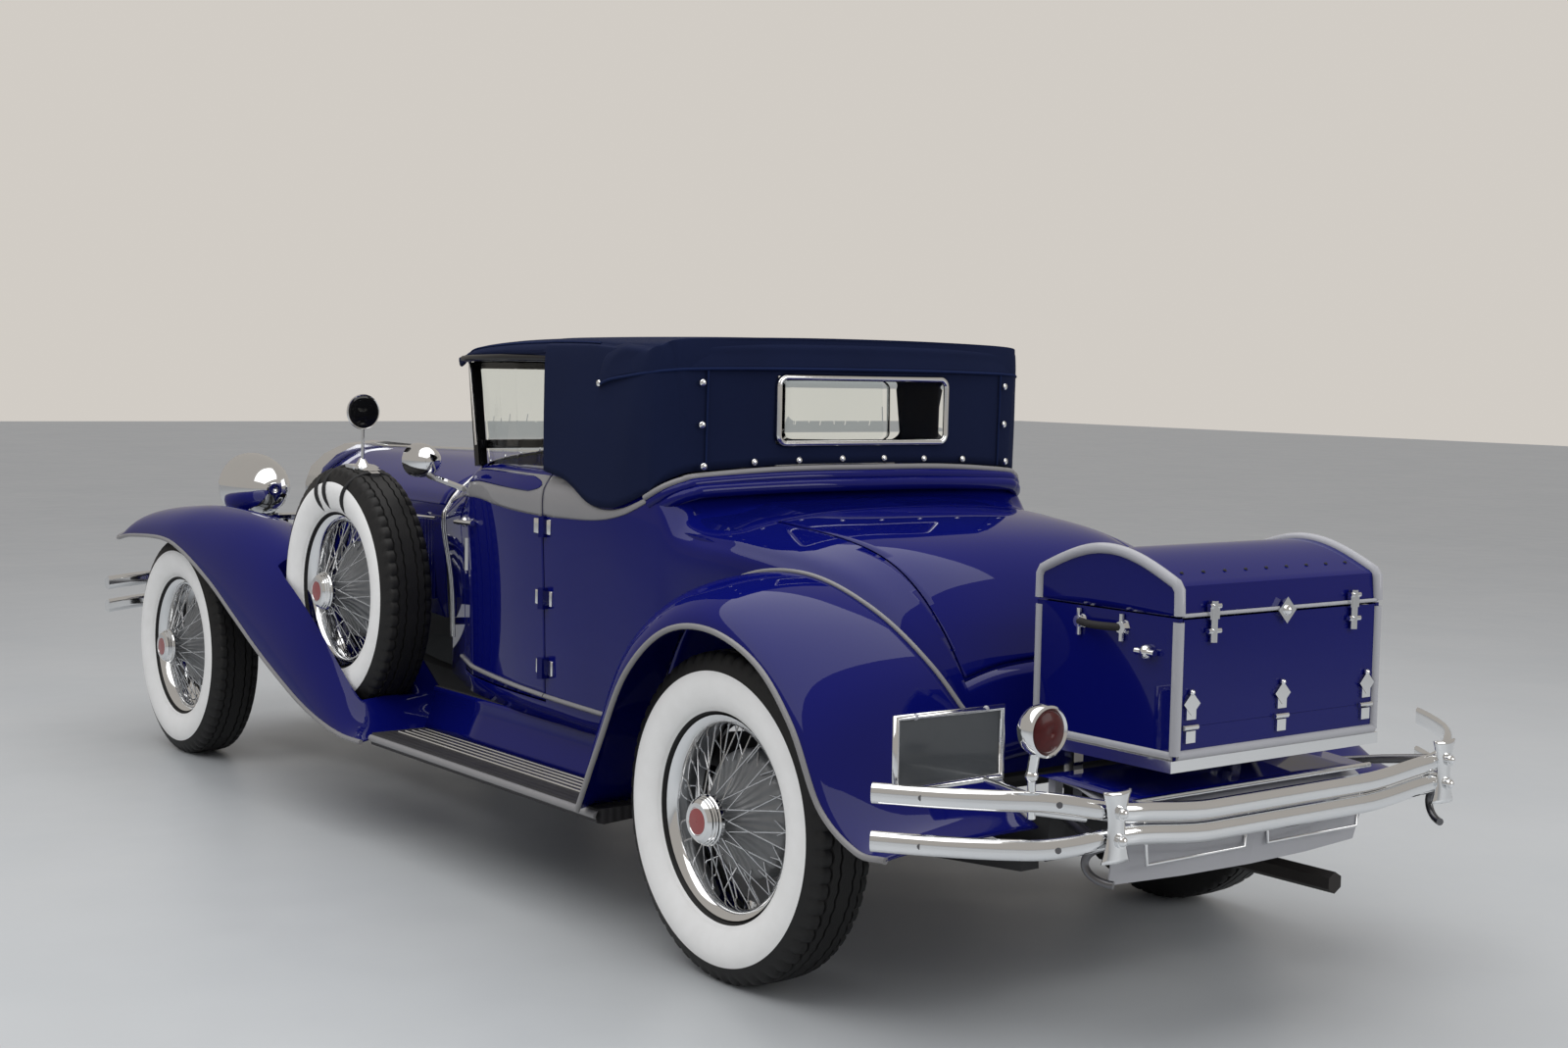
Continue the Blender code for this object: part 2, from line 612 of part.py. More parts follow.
def running_boards():
    """Flat boards with a rolled outer edge, each with the splash apron up to the body's sill."""
    for side, sign in (("left", 1), ("right", -1)):
        outline = [(0.640, BOARD_TOP_Z - 0.030), (0.825, BOARD_TOP_Z - 0.042), (0.845, BOARD_TOP_Z - 0.036),
                   (0.850, BOARD_TOP_Z - 0.020), (0.842, BOARD_TOP_Z), (0.662, BOARD_TOP_Z),
                   (0.634, 0.400), (0.626, FLOOR_Z - GAP), (0.618, FLOOR_Z - GAP), (0.626, 0.400)]
        rings = []
        for y in (BOARD_FRONT_Y, BOARD_REAR_Y):
            rings.append([(sign * x, y, z) for x, z in outline])
        bm = bmesh.new()
        ring_loft(bm, rings)
        finish("running_board_" + side, bm, GREY, 0.5)


def rim_seat(grow):
    """The rim's outer surface, where the tyre sits, as (along, radius)."""
    w = RIM_WIDTH / 2
    return [(-w, RIM_RADIUS + grow), (0.0, RIM_RADIUS - RIM_DROP + grow), (w, RIM_RADIUS + grow)]


def tyre_profile():
    """Tyre section about its own middle plane, seated on the rim."""
    w, r = TYRE_WIDTH / 2, TYRE_RADIUS
    return rim_seat(2 * GAP) + [(w, RIM_RADIUS + 0.45 * (r - RIM_RADIUS)), (w * 0.70, r), (-w * 0.70, r),
                                (-w, RIM_RADIUS + 0.45 * (r - RIM_RADIUS))]


def tyre(name, centre):
    """One tyre."""
    bm = bmesh.new()
    turned(bm, tyre_profile(), ROUND_SIDES, centre, 'X', True)
    finish(name, bm, BLACK, 0.8, 0.0, centre)


def wire_wheel(name, centre, sign):
    """Drop-centre rim, hub with its cap, and two crossing rows of wire spokes."""
    w = RIM_WIDTH / 2
    bead = RIM_RADIUS - RIM_DROP
    rim = bmesh.new()
    turned(rim, rim_seat(0.0) + [(w - 0.018, bead - 0.018), (-w + 0.018, bead - 0.018)],
           ROUND_SIDES, centre, 'X', True)
    wheel = finish(name, rim, CHROME, 0.25, 1.0, centre)
    hub = bmesh.new()
    profile = [(-HUB_BACK, DRUM_RADIUS), (-0.012, DRUM_RADIUS), (0.002, DRUM_RADIUS - 0.014),
               (0.014, 0.080), (0.030, HUB_RADIUS), (HUB_FACE, HUB_RADIUS - 0.008)]
    turned(hub, [(sign * along, radius) for along, radius in profile], 10, centre)
    hub_piece = guide(name + "_hub", hub)
    spokes = bmesh.new()
    count = SPOKE_PAIRS * 2
    for k in range(count):
        lean = 0.35 if k % 2 else -0.35
        angle = 2 * math.pi * k / count
        outer = k % 2 == 0
        hub_x = sign * (HUB_FACE - 0.058 if outer else -0.002)
        foot_r = HUB_RADIUS - 0.014 if outer else DRUM_RADIUS - 0.024
        foot = Vector((hub_x, foot_r * math.cos(angle + lean), foot_r * math.sin(angle + lean)))
        tip = Vector((0.0, (bead - 0.010) * math.cos(angle), (bead - 0.010) * math.sin(angle)))
        rod(spokes, Vector(centre) + foot, Vector(centre) + tip, SPOKE_RADIUS, 3)
    spoke_piece = guide(name + "_spokes", spokes)
    combine(wheel, hub_piece, 'UNION')
    combine(wheel, spoke_piece, 'UNION')


WHEEL_PLACES = {
    "front_left": (FRONT_TRACK / 2, -WHEELBASE, TYRE_RADIUS, 1),
    "front_right": (-FRONT_TRACK / 2, -WHEELBASE, TYRE_RADIUS, -1),
    "rear_left": (REAR_TRACK / 2, 0.0, TYRE_RADIUS, 1),
    "rear_right": (-REAR_TRACK / 2, 0.0, TYRE_RADIUS, -1),
    "spare_left": (SPARE_X, SPARE_Y, SPARE_Z, 1),
    "spare_right": (-SPARE_X, SPARE_Y, SPARE_Z, -1),
}


def wheels():
    """Four road wheels and two spares."""
    for place, (x, y, z, sign) in WHEEL_PLACES.items():
        tyre("tyre_" + place, (x, y, z))
        wire_wheel("wheel_" + place, (x, y, z), sign)


def chassis():
    """Ladder frame with a kick-up over the rear axle, joined by its cross members."""
    level = FLOOR_Z - GAP - RAIL_HEIGHT / 2
    rail_path = [(-3.800, 0.510), (-3.300, 0.490), (-2.300, level + 0.010), (-2.150, level),
                 (-0.700, level), (-0.450, 0.450),
                 (-0.200, 0.560), (0.200, 0.560), (0.400, 0.480), (0.700, 0.440)]
    bodies = []
    for sign in (1, -1):
        bm = bmesh.new()
        path = []
        for y, z in rail_path:
            x = 0.333 if y < -2.8 else RAIL_X
            path.append((sign * x, y, z))
        swept(bm, path, box_section(RAIL_WIDTH, RAIL_HEIGHT))
        bodies.append(bm)
    for y, z in ((-3.700, 0.507), (-2.200, 0.400), (-0.700, 0.390), (0.650, 0.443)):
        bm = bmesh.new()
        block(bm, (-0.41, y - 0.04, z - 0.03), (0.41, y + 0.04, z + 0.03))
        bodies.append(bm)
    joined("chassis_frame", bodies, BLACK, 0.5)


KINGPIN_X = FRONT_TRACK / 2 - 0.110
KINGPIN_RADIUS = 0.024
TIE_ARM = -0.160
TIE_RADIUS = 0.0145
AXLE_Z = 0.390
AXLE_RADIUS = 0.028
HAND_WHEEL_X = 0.330
HAND_WHEEL_Y = -1.300
HAND_WHEEL_Z = 1.000
HAND_WHEEL_RADIUS = 0.205
COLUMN_RISE = math.radians(35)


def axles():
    """Rear axle tube and front axle tube, each on its leaf springs."""
    half = REAR_TRACK / 2 - HUB_BACK - 2 * GAP
    bodies = []
    bm = bmesh.new()
    rod(bm, (-half, 0, TYRE_RADIUS), (half, 0, TYRE_RADIUS), 0.030, 12)
    bodies.append(bm)
    shackle_face = RAIL_X + RAIL_WIDTH / 2 + GAP
    for sign in (1, -1):
        bm = bmesh.new()
        leaf = [(-0.70, 0.400), (-0.30, 0.372), (0.0, 0.360), (0.40, 0.372), (0.72, 0.400)]
        swept(bm, [(sign * REAR_SPRING_X, y, z) for y, z in leaf], box_section(0.055, 0.035))
        bodies.append(bm)
        for y in (-0.680, 0.650):
            bm = bmesh.new()
            block(bm, (sign * (REAR_SPRING_X - 0.010), y - 0.020, 0.392),
                  (sign * shackle_face, y + 0.020, 0.416))
            bodies.append(bm)
    joined("rear_axle", bodies, BLACK, 0.5)
    bodies = []
    half = KINGPIN_X - KINGPIN_RADIUS - GAP
    bm = bmesh.new()
    tube = [(AXLE_RADIUS * math.cos(math.pi * k / 4), AXLE_RADIUS * math.sin(math.pi * k / 4))
            for k in range(8)]
    swept(bm, [(x, -WHEELBASE, z) for x, z in ((-half, AXLE_Z), (-half + 0.050, AXLE_Z), (-0.440, 0.345),
                                              (-0.290, 0.262), (0.290, 0.262), (0.440, 0.345),
                                              (half - 0.050, AXLE_Z), (half, AXLE_Z))], tube)
    bodies.append(bm)
    for sign in (1, -1):
        bm = bmesh.new()
        leaf = [(0.4072, -2.95, 0.430), (0.4090, -3.25, 0.400), (0.4090, -3.52, 0.352)]
        swept(bm, [(sign * x, y, z) for x, y, z in leaf], box_section(0.050, 0.030))
        bodies.append(bm)
    joined("front_axle", bodies, BLACK, 0.5)


def steering():
    """Knuckles on their kingpins, each with an arm forward to the tie rod under the arms' ends."""
    arm_low = AXLE_Z + AXLE_RADIUS + 0.010
    for side, sign in (("left", 1), ("right", -1)):
        pin = Vector((sign * KINGPIN_X, -WHEELBASE, TYRE_RADIUS))
        bodies = []
        bm = bmesh.new()
        rod(bm, pin - Vector((0, 0, 0.090)), pin + Vector((0, 0, 0.090)), KINGPIN_RADIUS, 16)
        bodies.append(bm)
        bm = bmesh.new()
        rod(bm, pin, (sign * (FRONT_TRACK / 2 - HUB_BACK - 2 * GAP), pin.y, pin.z), 0.032, 8)
        bodies.append(bm)
        bm = bmesh.new()
        block(bm, (pin.x - 0.018, pin.y + TIE_ARM - 0.018, arm_low), (pin.x + 0.018, pin.y, arm_low + 0.020))
        bodies.append(bm)
        joined("knuckle_" + side, bodies, BLACK, 0.4, 0.0, pin)
    bm = bmesh.new()
    y, z = -WHEELBASE + TIE_ARM, arm_low - GAP - TIE_RADIUS * math.cos(math.pi / 8)
    rod(bm, (-KINGPIN_X - 0.015, y, z), (KINGPIN_X + 0.015, y, z), TIE_RADIUS, 8)
    finish("tie_rod", bm, BLACK, 0.4, 0.0, (KINGPIN_X, y, z))


def hand_wheel(dash):
    """Steering column hung from the dashboard, and the three-spoked hand wheel on its upper end."""
    centre = Vector((HAND_WHEEL_X, HAND_WHEEL_Y, HAND_WHEEL_Z))
    along = Vector((0, math.cos(COLUMN_RISE), math.sin(COLUMN_RISE)))
    across, rise = Vector((1, 0, 0)), Vector((0, -math.sin(COLUMN_RISE), math.cos(COLUMN_RISE)))
    reach = (HAND_WHEEL_Z - FLOOR_Z - WALL - 0.022) / math.sin(COLUMN_RISE)
    column = bmesh.new()
    rod(column, centre - along * reach, centre - along * 0.032, 0.020, 8)
    hanger = bmesh.new()
    block(hanger, (HAND_WHEEL_X - 0.025, SCREEN_Y + 0.008, 0.775),
          (HAND_WHEEL_X + 0.025, SCREEN_Y + 0.032, 0.990))
    combine(dash, guide("steering_column", column), 'UNION')
    combine(dash, guide("column_hanger", hanger), 'UNION')
    rim = bmesh.new()
    sides, thick = 12, 0.013
    loops = []
    for k in range(sides):
        angle = 2 * math.pi * k / sides
        out = across * math.cos(angle) + rise * math.sin(angle)
        ring = []
        for a in (0, math.pi / 2, math.pi, 3 * math.pi / 2):
            spot = centre + out * (HAND_WHEEL_RADIUS + thick * math.cos(a)) + along * thick * math.sin(a)
            ring.append(rim.verts.new(spot))
        loops.append(ring)
    for low, high in zip(loops, loops[1:] + loops[:1]):
        for j in range(4):
            k = (j + 1) % 4
            rim.faces.new((low[j], low[k], high[k], high[j]))
    bodies = [rim]
    hub = bmesh.new()
    rod(hub, centre - along * 0.031, centre + along * 0.012, 0.032, 8)
    bodies.append(hub)
    for k in range(3):
        angle = math.pi / 2 + 2 * math.pi * k / 3
        out = across * math.cos(angle) + rise * math.sin(angle)
        bm = bmesh.new()
        rod(bm, centre + out * 0.010, centre + out * HAND_WHEEL_RADIUS, 0.009, 4)
        bodies.append(bm)
    joined("steering_wheel", bodies, BLACK, 0.3, 0.0, centre)


def engine():
    """Engine and front drive unit as one block at its real place."""
    bodies = []
    bm = bmesh.new()
    block(bm, (-ENGINE_HALF, -3.08, 0.500), (ENGINE_HALF, ENGINE_REAR_Y, ENGINE_TOP_Z))
    bodies.append(bm)
    bm = bmesh.new()
    block(bm, (-0.10, -2.295, 0.430 + GAP), (0.10, -2.170, 0.560))
    bodies.append(bm)
    bm = bmesh.new()
    drive = [(-3.60, 0.08), (-3.50, 0.115), (-3.30, 0.125), (DRIVE_REAR_Y, 0.130)]
    turned(bm, drive, 12, (0, 0, DRIVE_Z), 'Y')
    bodies.append(bm)
    joined("engine", bodies, GREY, 0.5, 0.5)


def front_apron():
    """Curved cover over the drive unit between the frame horns."""
    grid = []
    rows = [(RADIATOR_Y - RADIATOR_DEPTH - 3 * GAP, 0.700, 0.280), (-3.680, 0.685, 0.300),
            (-3.790, 0.640, 0.300), (-3.870, 0.560, 0.290), (-3.900, 0.470, 0.270)]
    for y, z, half in rows:
        row = []
        for k in range(5):
            t = k / 2 - 1
            bend = 0.03 if grid else 0.0
            row.append(Vector((half * t, y + bend * t * t, z - 0.020 * t * t)))
        grid.append(row)
    bm = bmesh.new()
    grid_sheet(bm, grid, offset_grid(grid, -SKIN))
    finish("front_apron", bm, BLUE, 0.15)


def windshield():
    """Flat screen in a slim frame on two posts."""
    low, high = 1.222, 1.480
    y0, y1 = SCREEN_Y + 0.005, SCREEN_Y - 0.060
    bodies = []
    bar = box_section(0.030, 0.026)
    for sign in (1, -1):
        bm = bmesh.new()
        swept(bm, [(sign * 0.580, y0, 1.162), (sign * 0.570, y1, high - 0.006)], bar, (0, 1, 0))
        bodies.append(bm)
    for z, y, end in ((low + 0.006, y0, 0.585), (high - 0.010, y1, 0.564)):
        bm = bmesh.new()
        swept(bm, [(-end, y, z + 0.0005), (end, y, z + 0.0005)], bar)
        bodies.append(bm)
    joined("windshield_frame", bodies, BLACK, 0.3)
    bm = bmesh.new()
    thick = 0.003
    rise = 0.025
    half_low, half_high = 0.554, 0.545
    corners = ((-1, -thick), (1, -thick), (1, thick), (-1, thick))
    ring_low = [(end * half_low, y0 + dy, low + rise) for end, dy in corners]
    ring_high = [(end * half_high, y1 + dy, high - rise + 0.0022) for end, dy in corners]
    ring_loft(bm, [ring_low, ring_high])
    finish("windshield_glass", bm, GLASS, 0.05)


TOP_THICK = 0.008
WINDOW_HALF = 0.295
WINDOW_LOW_Z = 1.279
WINDOW_HIGH_Z = 1.448
WINDOW_FRAME = 0.010
# Rows of the top from the header to the rear bow: y, half width, height of the side edge, of the
# crown, and of the lower edge of the side
TOP_ROWS = [
    (-1.745, 0.590, 1.496, 1.520, 1.474),
    (-1.640, 0.612, 1.518, 1.540, 1.486),
    (-1.400, 0.632, 1.532, 1.556, 1.494),
    (-1.135, 0.648, 1.538, 1.563, 1.494),
    (-1.110, 0.668, 1.538, 1.563, 1.178),
    (-0.980, 0.672, 1.538, 1.564, 1.090),
    (-0.860, 0.674, 1.536, 1.563, 1.060),
    (-0.760, 0.673, 1.530, 1.560, 1.078),
]


def soft_top():
    """Closed canvas top: roof, quarters and rear curtain as one thick sheet, with the rear window cut out."""
    rows = []
    for y, half, edge, crown, low in TOP_ROWS:
        half_row = [(half, low), (half, low + 0.5 * (edge - low)), (half - 0.004, edge - 0.030),
                    (half - 0.022, edge - 0.004), (half - 0.075, edge + 0.45 * (crown - edge)),
                    (half * 0.45, crown - 0.004), (0.0, crown)]
        row = [(-x, z) for x, z in half_row[:-1]] + half_row[::-1]
        rows.append([Vector((x, y, z)) for x, z in row])
    half_tail = [(0.668, -0.690, 1.130), (0.672, -0.660, 1.330), (0.664, -0.630, 1.490),
                 (0.640, -0.600, 1.524), (0.575, -0.560, 1.540), (0.290, -0.535, 1.548), (0.0, -0.530, 1.550)]
    half_bend = [(0.655, -0.610, 1.155), (0.657, -0.590, 1.330), (0.648, -0.575, 1.475),
                 (0.618, -0.545, 1.505), (0.560, -0.520, 1.520), (0.290, -0.500, 1.528), (0.0, -0.495, 1.530)]
    half_low = [(0.651, -0.596, 1.156), (0.640, -0.570, 1.170), (0.620, -0.548, 1.182),
                (0.590, -0.530, 1.192), (0.540, -0.518, 1.200), (0.290, -0.500, 1.214), (0.0, -0.495, 1.216)]
    for half_row in (half_tail, half_bend, half_low):
        rows.append([Vector((-x, y, z)) for x, y, z in half_row[:-1]] + [Vector(p) for p in half_row[::-1]])
    bm = bmesh.new()
    grid_sheet(bm, rows, offset_grid(rows, -TOP_THICK))
    header = bmesh.new()
    block(header, (-0.545, -1.735, 1.4838), (0.545, -1.665, 1.5150))
    top = joined("soft_top", [bm, header], NAVY, 0.9)
    hole = bmesh.new()
    frame = WINDOW_FRAME + GAP
    prism(hole, [(x * (WINDOW_HALF + frame), WINDOW_LOW_Z - frame if z < 0 else WINDOW_HIGH_Z + frame)
                 for x, z in ((-1, -1), (1, -1), (1, 1), (-1, 1))], -0.70, -0.30, 'Y')
    combine(top, guide("rear_window_hole", hole), 'DIFFERENCE')


def rear_window():
    """Glass of the rear curtain in its chrome frame."""
    rings = []
    for grow, y in ((0.0, -0.512), (WINDOW_FRAME, -0.512), (WINDOW_FRAME, -0.488), (0.0, -0.488)):
        half = WINDOW_HALF + grow
        low, high = WINDOW_LOW_Z - grow, WINDOW_HIGH_Z + grow
        cut = 0.012
        rings.append([Vector((x, y, z)) for x, z in
                      ((-half + cut, low), (half - cut, low), (half, low + cut), (half, high - cut),
                       (half - cut, high), (-half + cut, high), (-half, high - cut), (-half, low + cut))])
    frame = bmesh.new()
    loops = [[frame.verts.new(p) for p in ring] for ring in rings]
    for low, high in zip(loops, loops[1:] + loops[:1]):
        for j in range(8):
            k = (j + 1) % 8
            frame.faces.new((low[j], low[k], high[k], high[j]))
    pane = bmesh.new()
    edge = 0.003
    block(pane, (-WINDOW_HALF - edge, -0.502, WINDOW_LOW_Z - edge),
          (WINDOW_HALF + edge, -0.498, WINDOW_HIGH_Z + edge))
    joined("rear_window", [frame, pane], CHROME, 0.1, 1.0)


def cabin():
    """Seat and dashboard, fitted between the body's inner walls."""
    floor = FLOOR_Z + WALL + GAP
    bm = bmesh.new()
    prism(bm, [(-1.130, floor), (-0.820, floor), (-0.700, 0.620), (-0.640, 1.080), (-0.760, 1.100),
               (-0.830, 0.780), (-1.150, 0.800)],
          -0.540, 0.540)
    finish("seat", bm, TAN, 0.7)
    front, rear = SCREEN_Y + 0.004, SCREEN_Y + 0.036
    dash = finish("dashboard", body_solid(WALL + 2 * GAP, front, rear), TAN, 0.4)
    bm = bmesh.new()
    block(bm, (-0.8, front - 0.1, 0.980), (0.8, rear + 0.1, 1.4))
    combine(dash, guide("dashboard_cut", bm), 'INTERSECT')
    return dash


def trunk():
    """Trunk box with a lid hinged along its front and a drop panel hinged along its bottom line."""
    half, wall = TRUNK_HALF_WIDTH, TRUNK_WALL
    front, rear, floor = TRUNK_FRONT_Y, TRUNK_REAR_Y, TRUNK_FLOOR_Z
    bm = bmesh.new()
    block(bm, (-half, front, floor), (half, rear, TRUNK_LID_Z))
    box = finish("trunk_body", bm, BLUE, 0.15)
    bm = bmesh.new()
    block(bm, (-half + wall, front + wall, floor + wall), (half - wall, rear - wall, TRUNK_LID_Z + wall))
    combine(box, guide("trunk_inside", bm), 'DIFFERENCE')
    bm = bmesh.new()
    block(bm, (-half + wall, rear - 2 * wall, TRUNK_DROP_Z), (half - wall, rear + wall, TRUNK_LID_Z + wall))
    combine(box, guide("trunk_drop_opening", bm), 'DIFFERENCE')
    bm = bmesh.new()
    gap, seat = 0.003, 2 * GAP
    block(bm, (-half + wall + gap, rear - wall, TRUNK_DROP_Z + seat),
          (half - wall - gap, rear, TRUNK_LID_Z - gap))
    finish("trunk_drop_panel", bm, BLUE, 0.15, 0.0, (0, rear, TRUNK_DROP_Z + seat))
    top = []
    steps = 8
    for k in range(steps + 1):
        t = k / steps
        y = front + 0.010 + (rear - front - 0.020) * t
        z = 1.030 + (TRUNK_TOP_Z - 1.030) * math.sin(math.pi * t)
        top.append((y, z))
    outer = [(front, TRUNK_LID_Z + seat)] + top + [(rear, TRUNK_LID_Z + seat)]
    bm = bmesh.new()
    prism(bm, outer, -half, half)
    lid = finish("trunk_lid", bm, BLUE, 0.15, 0.0, (0, front, TRUNK_LID_Z + seat))
    inner = [(front + wall, TRUNK_LID_Z - 0.05)] + [(y + wall * (1 - 2 * k / steps), z - wall)
                                                    for k, (y, z) in enumerate(top)]
    inner += [(rear - wall, TRUNK_LID_Z - 0.05)]
    bm = bmesh.new()
    prism(bm, inner, -half + wall, half - wall)
    combine(lid, guide("trunk_lid_hollow", bm), 'DIFFERENCE')


def rack():
    """Polished tray under the trunk on two bearers from the frame."""
    bodies = []
    bm = bmesh.new()
    block(bm, (-0.355, 0.545, 0.628), (0.355, 0.992, TRUNK_FLOOR_Z - GAP))
    bodies.append(bm)
    for sign in (1, -1):
        bm = bmesh.new()
        swept(bm, [(sign * 0.280, 0.630, 0.4735), (sign * 0.280, 0.630, 0.560), (sign * 0.280, 0.630, 0.635)],
              box_section(0.030, 0.030), (0, 1, 0))
        bodies.append(bm)
    joined("trunk_rack", bodies, CHROME, 0.2, 1.0)


def bar_section(half_height):
    """Section of a bumper bar, flat behind and round in front."""
    return [(-0.006, -half_height), (0.004, -half_height * 0.8), (0.010, 0.0),
            (0.004, half_height * 0.8), (-0.006, half_height)]


def bumpers():
    """Two-bar bumpers on spring-steel arms; the rear one is stacked and dips in the middle."""
    bodies = []
    for level in (1, -1):
        path = []
        for k in range(15):
            t = k / 7 - 1
            a = abs(t)
            spread = min(1, max(0, (a - 0.55) / 0.18))
            dip = 0.022 * (1 - min(1, max(0, (a - 0.30) / 0.25)))
            x = BUMPER_HALF * t * (1 - 0.10 * max(0, a - 0.8))
            y = BUMPER_REAR_Y - 0.011 - 0.34 * max(0, a - 0.52) ** 1.7 / 0.29
            path.append((x, y, BUMPER_Z + level * (0.024 + 0.027 * spread) - dip))
        bm = bmesh.new()
        swept(bm, path, bar_section(0.0262 if level > 0 else 0.0260), (0, 0, -1))
        bodies.append(bm)
    for sign in (1, -1):
        bm = bmesh.new()
        swept(bm, [(sign * CLAMP_X, BUMPER_REAR_Y - CLAMP_HALF, BUMPER_Z + z) for z in (-0.075, 0.075)],
              box_section(0.056, 2 * CLAMP_HALF), (0, 1, 0))
        bodies.append(bm)
        bm = bmesh.new()
        reach = CLAMP_X - RAIL_X
        swept(bm, [(sign * (RAIL_X + reach * share), y, z) for share, y, z in
                   ((0.0, 0.7063, 0.440), (0.0, 0.760, 0.420), (0.19, 0.860, 0.385), (0.69, 0.955, 0.400),
                    (0.975, 0.995, 0.455), (1.0, 1.012, 0.510))],
              box_section(0.050, 0.010), (sign, 0, 0.2))
        bodies.append(bm)
    joined("bumper_rear", bodies, CHROME, 0.1, 1.0)
    bodies = []
    for z in (0.590, 0.500):
        path = [((BUMPER_HALF - 0.050) * t, BUMPER_FRONT_Y + 0.022 + 0.22 * abs(t) ** 3.5, z)
                for t in (k / 5 - 1 for k in range(11))]
        bm = bmesh.new()
        swept(bm, path, bar_section(0.027))
        bodies.append(bm)
    for sign in (1, -1):
        bm = bmesh.new()
        x = sign * FRONT_CLAMP_X
        block(bm, (x - 0.025, BUMPER_FRONT_Y, 0.455), (x + 0.025, BUMPER_FRONT_Y + 0.057, 0.635))
        bodies.append(bm)
        bm = bmesh.new()
        swept(bm, [(x, BUMPER_FRONT_Y + 0.047, 0.540), (sign * 0.43, -4.080, 0.520),
                   (sign * 0.355, -3.930, 0.510), (sign * 0.333, -3.8024, 0.510)], box_section(0.012, 0.050))
        bodies.append(bm)
    joined("bumper_front", bodies, CHROME, 0.1, 1.0)


def lamps():
    """Headlamps on their cross bar, and the cowl band with its two lamps."""
    bar = bmesh.new()
    rod(bar, (-0.4979, -3.639, 0.861), (0.4979, -3.639, 0.861), 0.014, 6)
    bodies = [bar]
    for sign in (1, -1):
        bm = bmesh.new()
        turned(bm, [(-3.752, 0.090), (-3.745, HEADLAMP_RADIUS), (-3.715, HEADLAMP_RADIUS), (-3.633, 0.108),
                    (-3.560, 0.076), (-3.520, 0.030)], 10, (sign * 0.430, 0, 0.976), 'Y')
        bodies.append(bm)
        bm = bmesh.new()
        rod(bm, (sign * 0.430, -3.641, 0.850), (sign * 0.430, -3.641, 0.945), 0.022, 6)
        bodies.append(bm)
        bm = bmesh.new()
        rod(bm, (sign * 0.333, -3.641, 0.864), (sign * 0.333, -3.641, 0.5596), 0.012, 6)
        bodies.append(bm)
    joined("headlamps", bodies, CHROME, 0.1, 1.0)
    rows = []
    for y in (COWL_BAND_Y, COWL_BAND_Y + COWL_BAND_WIDTH):
        ring = [Vector(p) for p in body_ring(y, -2 * GAP)]
        rows.append([(ring[2] + ring[3]) / 2] + ring[3:10] + [(ring[9] + ring[10]) / 2])
    band = bmesh.new()
    grid_sheet(band, rows, [[Vector((p.x * 1.018, p.y, p.z + 0.007)) for p in row] for row in rows])
    bodies = [band]
    for sign in (1, -1):
        bm = bmesh.new()
        rod(bm, (sign * 0.590, COWL_BAND_Y + 0.020, 1.085), (sign * 0.600, -1.930, 1.115), 0.010, 6)
        bodies.append(bm)
        bm = bmesh.new()
        turned(bm, [(-2.020, 0.044), (-2.008, COWL_LAMP_RADIUS), (-1.985, COWL_LAMP_RADIUS), (-1.940, 0.046),
                    (-1.905, 0.026)], 10, (sign * 0.600, 0, 1.161), 'Y')
        bodies.append(bm)
    joined("cowl_lamps", bodies, CHROME, 0.1, 1.0)


def tail_lamp():
    """Tail lamp on its stalk, with the plate's bracket, both carried by the bumper's left clamp."""
    x, y, z = TAIL_LAMP_X, 0.925, 0.750
    clamp_front = BUMPER_REAR_Y - 2 * CLAMP_HALF
    bodies = []
    bm = bmesh.new()
    drum = [(y - 0.045, 0.025), (y - 0.030, 0.048), (y + 0.010, 0.054), (y + 0.018, 0.048)]
    turned(bm, drum, 10, (x, 0, z), 'Y')
    bodies.append(bm)
    bm = bmesh.new()
    rod(bm, (x, y - 0.012, z - 0.030), (x - 0.009, y - 0.020, 0.595), 0.011, 6)
    bodies.append(bm)
    bm = bmesh.new()
    rod(bm, (x - 0.009, y - 0.020, 0.601), (CLAMP_X - 0.021, clamp_front - 0.008, 0.590), 0.009, 6)
    bodies.append(bm)
    bm = bmesh.new()
    block(bm, (CLAMP_X - 0.032, clamp_front - 0.012, 0.565), (CLAMP_X - 0.011, clamp_front - GAP, 0.615))
    bodies.append(bm)
    bm = bmesh.new()
    rod(bm, (x - 0.009, y - 0.020, 0.601), (PLATE_X, PLATE_Y - 0.004, 0.583), 0.008, 6)
    bodies.append(bm)
    bm = bmesh.new()
    block(bm, (PLATE_X - 0.040, PLATE_Y - 0.008, 0.575), (PLATE_X + 0.040, PLATE_Y - GAP, 0.650))
    bodies.append(bm)
    joined("tail_lamp", bodies, RED, 0.2)


def number_plate():
    """Blank plate standing on its bracket beside the tail lamp."""
    bm = bmesh.new()
    block(bm, (PLATE_X - 0.102, PLATE_Y, 0.596), (PLATE_X + 0.203, PLATE_Y + 0.008, 0.757))
    finish("number_plate", bm, BLACK, 0.4)


